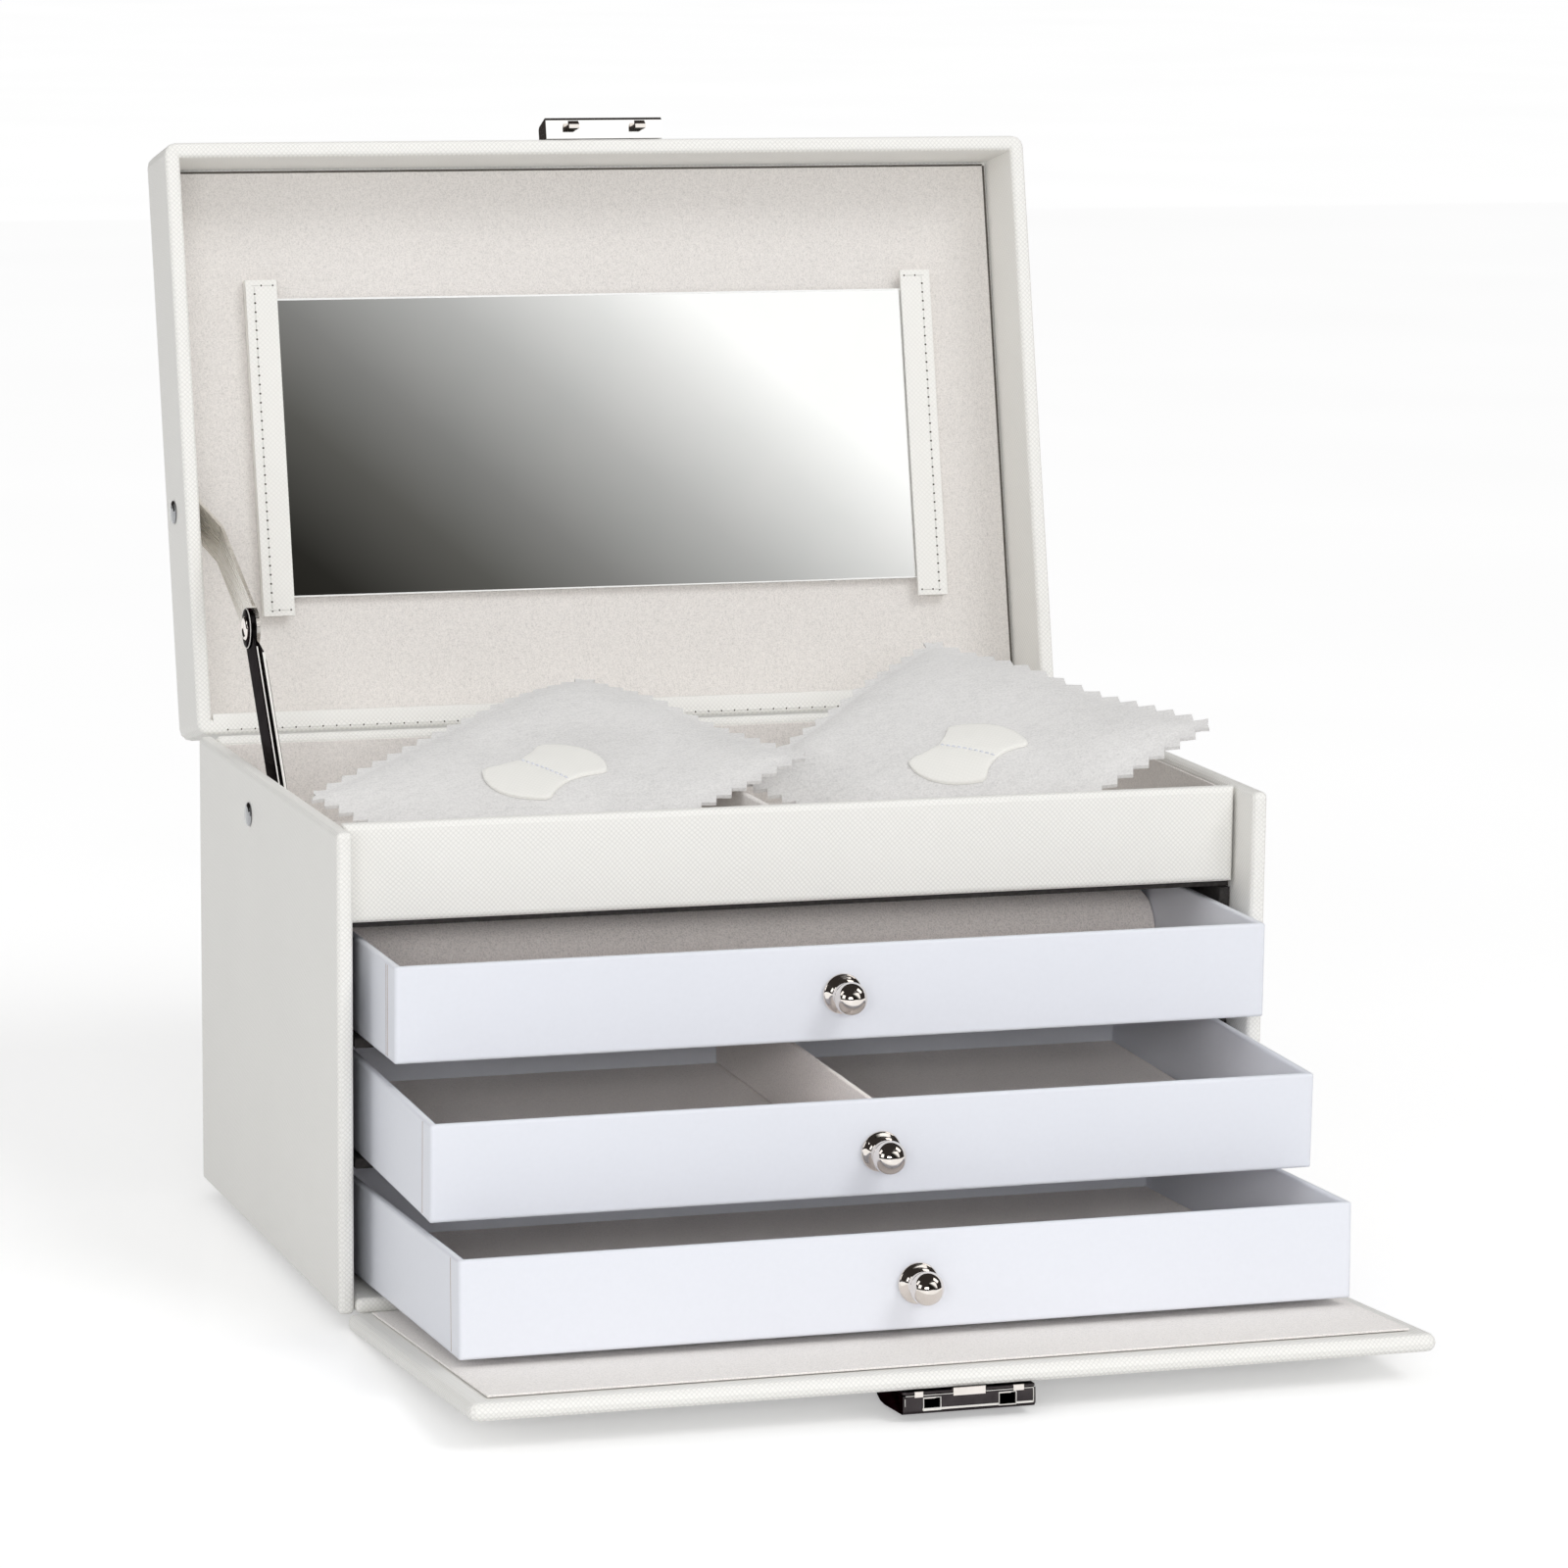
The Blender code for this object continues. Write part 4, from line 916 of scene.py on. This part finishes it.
def knobs():
    """Turned knobs, from the washer inside the drawer to the domed head."""
    radius, start, height = KNOB_DOME
    profile = list(KNOB_PROFILE)
    for step in range(KNOB_DOME_STEPS):
        angle = step / KNOB_DOME_STEPS * math.pi / 2
        profile.append((radius * math.cos(angle), start - height * math.sin(angle)))
    for number, (x, level) in KNOB_SPOTS.items():

        def spot(a, b, back):
            return drawer_point(number, x + a, back, level + b)

        body = f"drawer_{number}"
        made = revolve(f"turned_knob_{number}", profile, spot, "nickel", body, "nickel", steps=KNOB_SIDES)
        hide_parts(f"drawer_{number}_knob")


# Ring cushion, in the first drawer's millimetres
CUSHION_HALF = 122.7
CUSHION_ENDS = (75.0, 147.5)
CUSHION_BOTTOM = 3.2
CUSHION_ROLLS = 4
CUSHION_STEPS = 90
ROLL_STEPS = 20
ROLL_TOP = 19.6
ROLL_SEAM = 4.8
ROLL_EDGE = 1.2
ROLL_FULLNESS = 0.6
ROLL_EASE = 1.5
BASE_EASE = 2
END_SWELL = (0.80, 5)
PUCKER = 0.5
PUCKER_WAVE = 0.9
PUCKER_SHIFT = 2.1
PUCKER_END = 6
SAG = 0.4
SAG_GRAIN = 0.05
SAG_START = 2.3


def roll_height(x, j):
    """The cushion's height at a place across the drawer and at a step over its rolls."""
    to_end = CUSHION_HALF - abs(x)
    least, reach = END_SWELL
    swell = least + (1 - least) * math.sin(min(to_end / reach, 1) * math.pi / 2)
    crown = math.sin(j % ROLL_STEPS / ROLL_STEPS * math.pi) ** ROLL_FULLNESS
    low = ROLL_EDGE
    if j not in (0, CUSHION_ROLLS * ROLL_STEPS):
        wave = math.sin(x * PUCKER_WAVE + PUCKER_SHIFT * (j // ROLL_STEPS))
        low = ROLL_SEAM + PUCKER * (1 - crown) * wave * min(to_end / PUCKER_END, 1)
    sag = SAG * noise.noise(Vector((x * SAG_GRAIN, j * SAG_GRAIN, SAG_START)))
    return (low + (ROLL_TOP - low) * crown + sag * crown) * swell


def ring_cushion():
    """Padded velvet rolls sewn side by side, puckered along their seams and drawn in at both ends."""
    start, end = CUSHION_ENDS
    last = CUSHION_ROLLS * ROLL_STEPS
    backs = frange(start + ROLL_EASE, end - ROLL_EASE, last)
    shape = bmesh.new()

    def vertex(x, back, height=0):
        return shape.verts.new(drawer_point(1, x, back, CUSHION_BOTTOM + height))

    places = [CUSHION_HALF * math.sin(share * math.pi) for share in frange(-0.5, 0.5, CUSHION_STEPS)]
    tops = [[vertex(x, back, roll_height(x, j)) for j, back in enumerate(backs)] for x in places]
    base = [[vertex(x, back) for back in (start + BASE_EASE, end - BASE_EASE)] for x in places]
    weave(shape, tops)
    weave(shape, base)
    for edge, foot in ((0, 0), (last, 1)):
        weave(shape, [[under[foot], top[edge]] for under, top in zip(base, tops)])
    for under, top in ((base[0], tops[0]), (base[-1], tops[-1])):
        shape.faces.new([under[0], *top, under[1]])
    made = finished("ring_rolls", shape, "drawer_flock_painted_light", "drawer_1", "flock")
    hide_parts("drawer_1_ring_cushion")


# Stay: its pivots behind and above the case's middle and in the lid, and the two links' lengths
STAY_BODY_PIVOT = (19.3, 125.7)
STAY_LID_PIVOT = (67.6, 15.6)
STAY_LINKS = (60.3, 66.4)
# The pressed edge's section, across the link and out from it, and its height at places along the link
EDGE_SECTION = (
    (4.1, 0.2), (4.75, 0.2), (4.98, 0.35), (5.12, 0.7), (5.12, 2.6), (4.98, 2.8), (4.4, 2.8), (4.2, 2.6),
)
EDGE_FOOT = 0.2
EDGE_HEIGHTS = ((4.0, 0.05), (4.8, 1.0), (46.5, 1.0), (50.0, 0.85), (52.6, 0.5), (54.0, 0.12))
EDGE_FACE = 5.12
# Lines of painted highlight on the pressed edge's face
STAY_HIGHLIGHT_LINES = {"near": ((4.6, 51.5), (0.45, 0.80)), "far": ((4.6, 49.5), (1.9, 2.6))}
STAY_LINE_THICKNESS = 0.05
EYE_DISC = ((5.6, 0.02), (5.85, 0.12), (5.85, 0.3), (5.6, 0.45), (3.9, 0.5))
# A ring of painted highlight round the eye's disc
EYE_RIM_HIGHLIGHT = ((5.88, 0.30), (5.92, 0.42), (5.84, 0.50), (5.70, 0.50), (5.66, 0.40))
RINGED_RIVET = (
    (3.4, 0.45), (3.45, 0.8), (3.2, 1.1), (2.8, 1.22), (2.4, 1.1), (2.15, 0.85), (1.9, 0.8), (0.4, 0.95),
)


def stay_frame():
    """The lower link's pivot, its direction and the direction across it, in the plane of y and z."""
    pivot = case_point(0, *STAY_BODY_PIVOT)
    far = lid_point(0, *STAY_LID_PIVOT)
    span = (far - pivot).length
    lower, upper = (length * MM for length in STAY_LINKS)
    along = (lower ** 2 - upper ** 2 + span ** 2) / (2 * span)
    aside = math.sqrt(lower ** 2 - along ** 2)
    unit = (far - pivot) / span
    middle = pivot + unit * along + Vector((0, -unit.z, unit.y)) * aside
    way = (middle - pivot).normalized()
    return pivot, way, Vector((0, -way.z, way.y))


def stay_trim():
    """The lower link's pressed edge with bright lines of painted highlight, and the ringed middle rivet on
    its round eye, whose rim is a painted highlight.
    """
    pivot, way, across = stay_frame()
    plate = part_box("stay_lower_link")[0].x

    def place(along, level, x):
        return pivot + way * along * MM + across * level * MM + Vector((plate + x * MM, 0, 0))

    def face(along, x):
        return place(along, EDGE_FACE, x)

    def eye(a, b, level):
        return place(STAY_LINKS[0] + a, b, -level)

    rings = []
    for along, share in EDGE_HEIGHTS:
        rings.append([place(along, level, EDGE_FOOT + (x - EDGE_FOOT) * share) for level, x in EDGE_SECTION])
    tube("stay_pressed_edge", rings, "dark_chrome", "stay_lower", "dark_chrome")
    for name, (ends, edges) in STAY_HIGHLIGHT_LINES.items():
        corners = patch(face, ends, edges)
        slab("stay_highlight_line_" + name, corners, across, STAY_LINE_THICKNESS, "painted_highlight", "stay_lower", "dark_chrome")
    revolve("stay_eye_disc", EYE_DISC, eye, "dark_chrome", "stay_lower", "dark_chrome")
    revolve("stay_eye_rim_highlight", EYE_RIM_HIGHLIGHT, eye, "painted_highlight", "stay_lower", "dark_chrome")
    made = revolve("stay_ringed_rivet", RINGED_RIVET, eye, "nickel", "stay_lower", "nickel")
    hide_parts("stay_middle_rivet")


# Trim in the lid, in its own millimetres: reach from the hinge, and depth from the rim's plane
FOLD_HALF = 129.6
FOLD_REACH = (3.95, 5.9)
FOLD_DEPTH = (23.3, 22.7)
FOLD_WAY = (0, 0.3, -1)
FOLD_THICKNESS = 0.3
HINGE_FOLD_HALF = 130.2
HINGE_FOLD_STEPS = 26
HINGE_FOLD_SECTION = (
    (2.9, 0.03), (5.5, 0.04), (5.95, 0.2), (6.15, 0.6), (6.1, 1.1), (5.7, 1.5), (4.4, 1.6), (2.9, 0.5),
)
# Dark strips of painted shade in the slits beside the lining
SLIT_SHADE_DEPTH = 23.75
SLIT_SHADE_THICKNESS = 0.1
LINING_SLIT_SHADES = {"right": ((129.35, 129.95), (6.6, 169.9)), "top": ((-129.3, 129.35), (169.85, 170.4))}
GLASS_DEPTH = 21.08
GLASS_HALF = 101.9
GLASS_THICKNESS = 0.06
# The glass's edges as strips of painted highlight
GLASS_EDGE_HIGHLIGHTS = {"top": (131.0, 131.55), "bottom": (41.65, 42.0)}


def lining_fold():
    """The lining's lower edge, tucked down on to the lid's wall."""
    edges = zip(FOLD_REACH, FOLD_DEPTH)
    corners = patch(lambda x, edge: lid_point(x, *edge), (-FOLD_HALF, FOLD_HALF), edges)
    slab("lining_fold", corners, lid_way(*FOLD_WAY).normalized(), FOLD_THICKNESS, "flock", "lid", "flock")


def hinge_fold():
    """The hinge strip's upper edge, folded over the rim's corner into the lid."""
    rings = []
    for x in frange(-HINGE_FOLD_HALF, HINGE_FOLD_HALF, HINGE_FOLD_STEPS):
        rings.append([lid_point(x, reach, depth) for reach, depth in HINGE_FOLD_SECTION])
    tube("hinge_fold", rings, "strap", "lid", "leatherette")


def lid_strip(name, across, along, depth, thickness, paint, slot_name):
    corners = patch(lambda x, reach: lid_point(x, reach, depth), across, along)
    slab(name, corners, lid_way(0, 0, -1).normalized(), thickness, paint, "lid", slot_name)


def lining_shadow():
    """Painted shade of the slit beside the lid's lining, as dark strips along its right side and its top."""
    for name, spans in LINING_SLIT_SHADES.items():
        lid_strip("lining_slit_shade_" + name, *spans, SLIT_SHADE_DEPTH, SLIT_SHADE_THICKNESS, "hole", "flock")


def glass_edges():
    """The mirror's ground edges along its top and bottom, as pale strips: a painted highlight where they
    catch the light.
    """
    across = (-GLASS_HALF, GLASS_HALF)
    for name, along in GLASS_EDGE_HIGHLIGHTS.items():
        lid_strip("mirror_edge_highlight_" + name, across, along, GLASS_DEPTH, GLASS_THICKNESS, "glass_edge_highlight", "mirror")


# Lock, in the flap's millimetres. A plate has its ends from the lock's middle, its lower and upper edge
# from the top of the lock's case, and how far it stands out
LOCK_MIDDLE = 0.8
LOCK_FRONT = -129.7
LOCK_CASE_TOP = -3.9
LOCK_LUGS = {
    "lug_left": ((-15.2, -12.8), (-0.4, 1.2), 0.35, "nickel"),
    "lug_middle": ((-4.6, 4.4), (-0.5, 1.6), 0.5, "nickel"),
    "lug_right": ((12.0, 15.0), (-0.4, 1.2), 0.35, "nickel"),
}
# Pale lines along the lock's edges: painted highlights
LOCK_HIGHLIGHT_LINES = {
    "bright_edge_0": ((-13.0, 7.9), (-3.88, -3.35), 0.06, "painted_highlight"),
    "bright_edge_1": ((12.9, 17.4), (-3.88, -3.35), 0.06, "painted_highlight"),
    "end_line": ((17.5, 17.66), (-3.8, 0.0), 0.08, "painted_highlight"),
    "start_line": ((-17.85, -17.73), (-2.6, -0.6), 0.06, "painted_highlight"),
    "top_line": ((-17.6, 17.6), (0.02, 0.15), 0.06, "painted_highlight"),
}
WINDOW_REACH = 10.4
WINDOW_HALF = 2.45
WINDOW_EDGES = (-4.0, -0.5)
FRAME_SIDE = 0.17
FRAME_HEAD = 0.15
FRAME_THICKNESS = 0.15
SILL = 0.25
SILL_THICKNESS = 0.2


def on_lock(x, level):
    return flap_point(LOCK_MIDDLE + x, LOCK_FRONT, LOCK_CASE_TOP + level)


def window_highlights(name, side):
    """The four bright edges of a window in the lock's case, as plates of painted highlight."""
    left, right = side * WINDOW_REACH - WINDOW_HALF, side * WINDOW_REACH + WINDOW_HALF
    low, high = WINDOW_EDGES
    return {
        f"frame_{name}_low": ((left, right), (low, low + SILL), SILL_THICKNESS, "painted_highlight"),
        f"frame_{name}_high": ((left, right), (high - FRAME_HEAD, high), FRAME_THICKNESS, "painted_highlight"),
        f"frame_{name}_near": ((left, left + FRAME_SIDE), (low, high), FRAME_THICKNESS, "painted_highlight"),
        f"frame_{name}_far": ((right - FRAME_SIDE, right), (low, high), FRAME_THICKNESS, "painted_highlight"),
    }


def lock_trim():
    """Bright lugs on the lock's front face, with window frames and lines as plates of painted highlight."""
    out = (flap_point(0, -1, 0) - flap_point(0, 0, 0)).normalized()
    plates = {**LOCK_LUGS, **window_highlights("left", -1), **window_highlights("right", 1), **LOCK_HIGHLIGHT_LINES}
    for name, (across, along, thickness, paint) in plates.items():
        corners = patch(on_lock, across, along)
        slab("lock_" + name, corners, out, thickness, paint, "flap", "dark_chrome")


# Studio, in metres
FLOOR_HALF = 14
FLOOR_DROP = 0.2 * MM
FLOOR_GLOW = 0.37
FLOOR_GLOSS = 0.025
WORLD_FILL = 0.61
SUN_POWER = 0.7
SUN_WIDTH = math.radians(24)
SUN_WAY = Vector((-0.42, 0.62, -0.78))
LAMPS = {
    "front_box": (16, (1.4, 0.4), (-0.75, -2.45, 0.70)),
    "left_box": (4.2, (1.0, 1.0), (-2.4, -0.9, 0.9)),
}
LAMP_TARGET = Vector((0, 0, 0.1))
ROOM_HALF = 4
ROOM_LEVEL = (0.035, 0.030, 0.028)
SOFTBOXES = {
    "softbox_right": ((1.9, -0.5, 1.9), (1.0, 1.3), (1.5, 1.45, 1.4)),
    "softbox_left": ((-2.2, 0.3, 1.5), (0.8, 1.1), (1.2, 1.2, 1.2)),
}
CARD_MIDDLE = (86.6, 21.1)
CARD_WAY = Vector((0.302, -0.9278, 0.2190)).normalized()
CARD_ACROSS = Vector((0.928, 0.302, 0)).normalized()
CARD_DISTANCE = 1.1
CARD_SPAN = ((-0.5, 0.5), (-0.3, 0.4))
CARD_SLOPE = (2.86, 2.67, 0.45)
CARD_TONES = (
    (0.0, (0.011, 0.010, 0.008)),
    (0.16, (0.025, 0.024, 0.021)),
    (0.35, (0.107, 0.105, 0.097)),
    (0.50, (0.233, 0.232, 0.225)),
    (0.70, (0.487, 0.487, 0.480)),
    (0.87, (0.80, 0.80, 0.79)),
    (1.0, (1.1, 1.1, 1.09)),
)


def stage_panel(name, corners, material, faces=((0, 1, 2, 3),)):
    """A flat or boxy piece of the studio."""
    data = bpy.data.meshes.new(name)
    data.from_pydata(corners, [], faces)
    data.materials.append(material)
    return add(name, data)


def rectangle(half_wide, half_high):
    return patch(lambda x, y: (x, y, 0), (-half_wide, half_wide), (-half_high, half_high))


def aim(lamp, way):
    lamp.rotation_euler = way.to_track_quat("-Z", "Y").to_euler()


def floor_material():
    """White floor that keeps the shadows, glows where it is seen and reflects a trace of the object."""
    paint = Paint("floor", Roughness=0.9, Specular_IOR_Level=0.0)
    paint.two_tone(paint.noise(3, 2.0), (0.80, 0.80, 0.80), (0.82, 0.82, 0.82))
    rays = paint.node("LightPath").outputs
    seen = paint.math("MAXIMUM", rays["Is Camera Ray"], rays["Is Glossy Ray"])
    seen = paint.math("MAXIMUM", seen, rays["Is Transmission Ray"])
    glow = paint.fill(paint.node("Emission"), Strength=paint.math("MULTIPLY", seen, FLOOR_GLOW))
    both = paint.node("AddShader", (paint.shader.outputs[0], glow.outputs[0]))
    gloss = paint.fill(paint.node("BsdfGlossy"), Roughness=0.04, Color=(1, 1, 1, 1))
    return paint.surface(paint.node("MixShader", (FLOOR_GLOSS, both.outputs[0], gloss.outputs[0])))


def glow_material(name, level):
    paint = Paint(name)
    return paint.surface(paint.fill(paint.node("Emission"), Color=(*level, 1)))


def make_world():
    """White where it is seen or mirrored, and a softer fill light for everything else."""
    world = bpy.data.worlds.new("studio")
    bpy.context.scene.world = world
    world.use_nodes = True
    tree = world.node_tree
    back = tree.nodes["Background"]
    back.inputs["Color"].default_value = (1.0, 1.0, 1.0, 1)
    rays = tree.nodes.new("ShaderNodeLightPath")
    seen = tree.nodes.new("ShaderNodeMath")
    seen.operation = "MAXIMUM"
    tree.links.new(rays.outputs["Is Camera Ray"], seen.inputs[0])
    tree.links.new(rays.outputs["Is Glossy Ray"], seen.inputs[1])
    level = tree.nodes.new("ShaderNodeMapRange")
    level.inputs["To Min"].default_value = WORLD_FILL
    level.inputs["To Max"].default_value = 1.0
    tree.links.new(seen.outputs[0], level.inputs["Value"])
    tree.links.new(level.outputs[0], back.inputs["Strength"])


def stage():
    floor = stage_panel("floor", rectangle(FLOOR_HALF, FLOOR_HALF), floor_material())
    floor.location.z = -FLOOR_DROP
    make_world()
    sun = bpy.data.lights.new("key", "SUN")
    sun.energy = SUN_POWER
    sun.angle = SUN_WIDTH
    aim(add("key", sun), SUN_WAY)
    for name, (power, size, place) in LAMPS.items():
        light = bpy.data.lights.new(name, "AREA")
        light.shape = "RECTANGLE"
        light.size, light.size_y = size
        light.energy = power
        lamp = add(name, light)
        lamp.location = place
        aim(lamp, LAMP_TARGET - lamp.location)


def unseen(piece):
    """Keeps a piece of the studio out of everything but reflections."""
    for rays in ("camera", "diffuse", "shadow", "transmission", "volume_scatter"):
        setattr(piece, "visible_" + rays, False)


def mirror_card():
    """The studio's gradient that the mirror and the catch reflect, from dark at the lower left to white."""
    paint = Paint("studio_card")
    x, y, z = paint.separate(paint.coordinates)
    to_right, to_top, start = CARD_SLOPE
    share = paint.math("ADD", paint.total((x, to_right), (z, to_top)), start)
    material = paint.surface(paint.fill(paint.node("Emission"), Color=paint.ramp(share, CARD_TONES)))
    card = stage_panel("studio_card", patch(lambda x, z: (x, 0, z), *CARD_SPAN), material)
    up = CARD_WAY.cross(CARD_ACROSS).normalized()
    turn = Matrix((CARD_ACROSS, -CARD_WAY, up)).transposed()
    middle = lid_point(0, *CARD_MIDDLE) + CARD_WAY * CARD_DISTANCE
    card.matrix_world = Matrix.Translation(middle) @ turn.to_4x4()
    unseen(card)


def dark_room():
    """A dark room with two softboxes, which only the plated fittings show."""
    half = ROOM_HALF
    square = ((-half, -half), (half, -half), (half, half), (-half, half))
    corners = [(x, y, z) for z in (0, half) for x, y in square]
    faces = [(i, (i + 1) % 4, (i + 1) % 4 + 4, i + 4) for i in range(4)] + [(4, 5, 6, 7)]
    unseen(stage_panel("dark_room", corners, glow_material("dark_room", ROOM_LEVEL), faces))
    for name, (place, (wide, high), level) in SOFTBOXES.items():
        box = stage_panel(name, rectangle(wide / 2, high / 2), glow_material(name, level))
        box.location = place
        box.rotation_euler = Vector(place).to_track_quat("Z", "Y").to_euler()
        unseen(box)


bpy.context.scene.view_settings.view_transform = "Standard"
make_camera()
dress_cad()
for pouch_side in POUCHES:
    cloth = Pouch(pouch_side)
    cloth.build()
    Tab(cloth).build()
stitching()
knobs()
ring_cushion()
stay_trim()
lining_fold()
hinge_fold()
lining_shadow()
glass_edges()
drawer_seams()
lock_trim()
stage()
mirror_card()
dark_room()
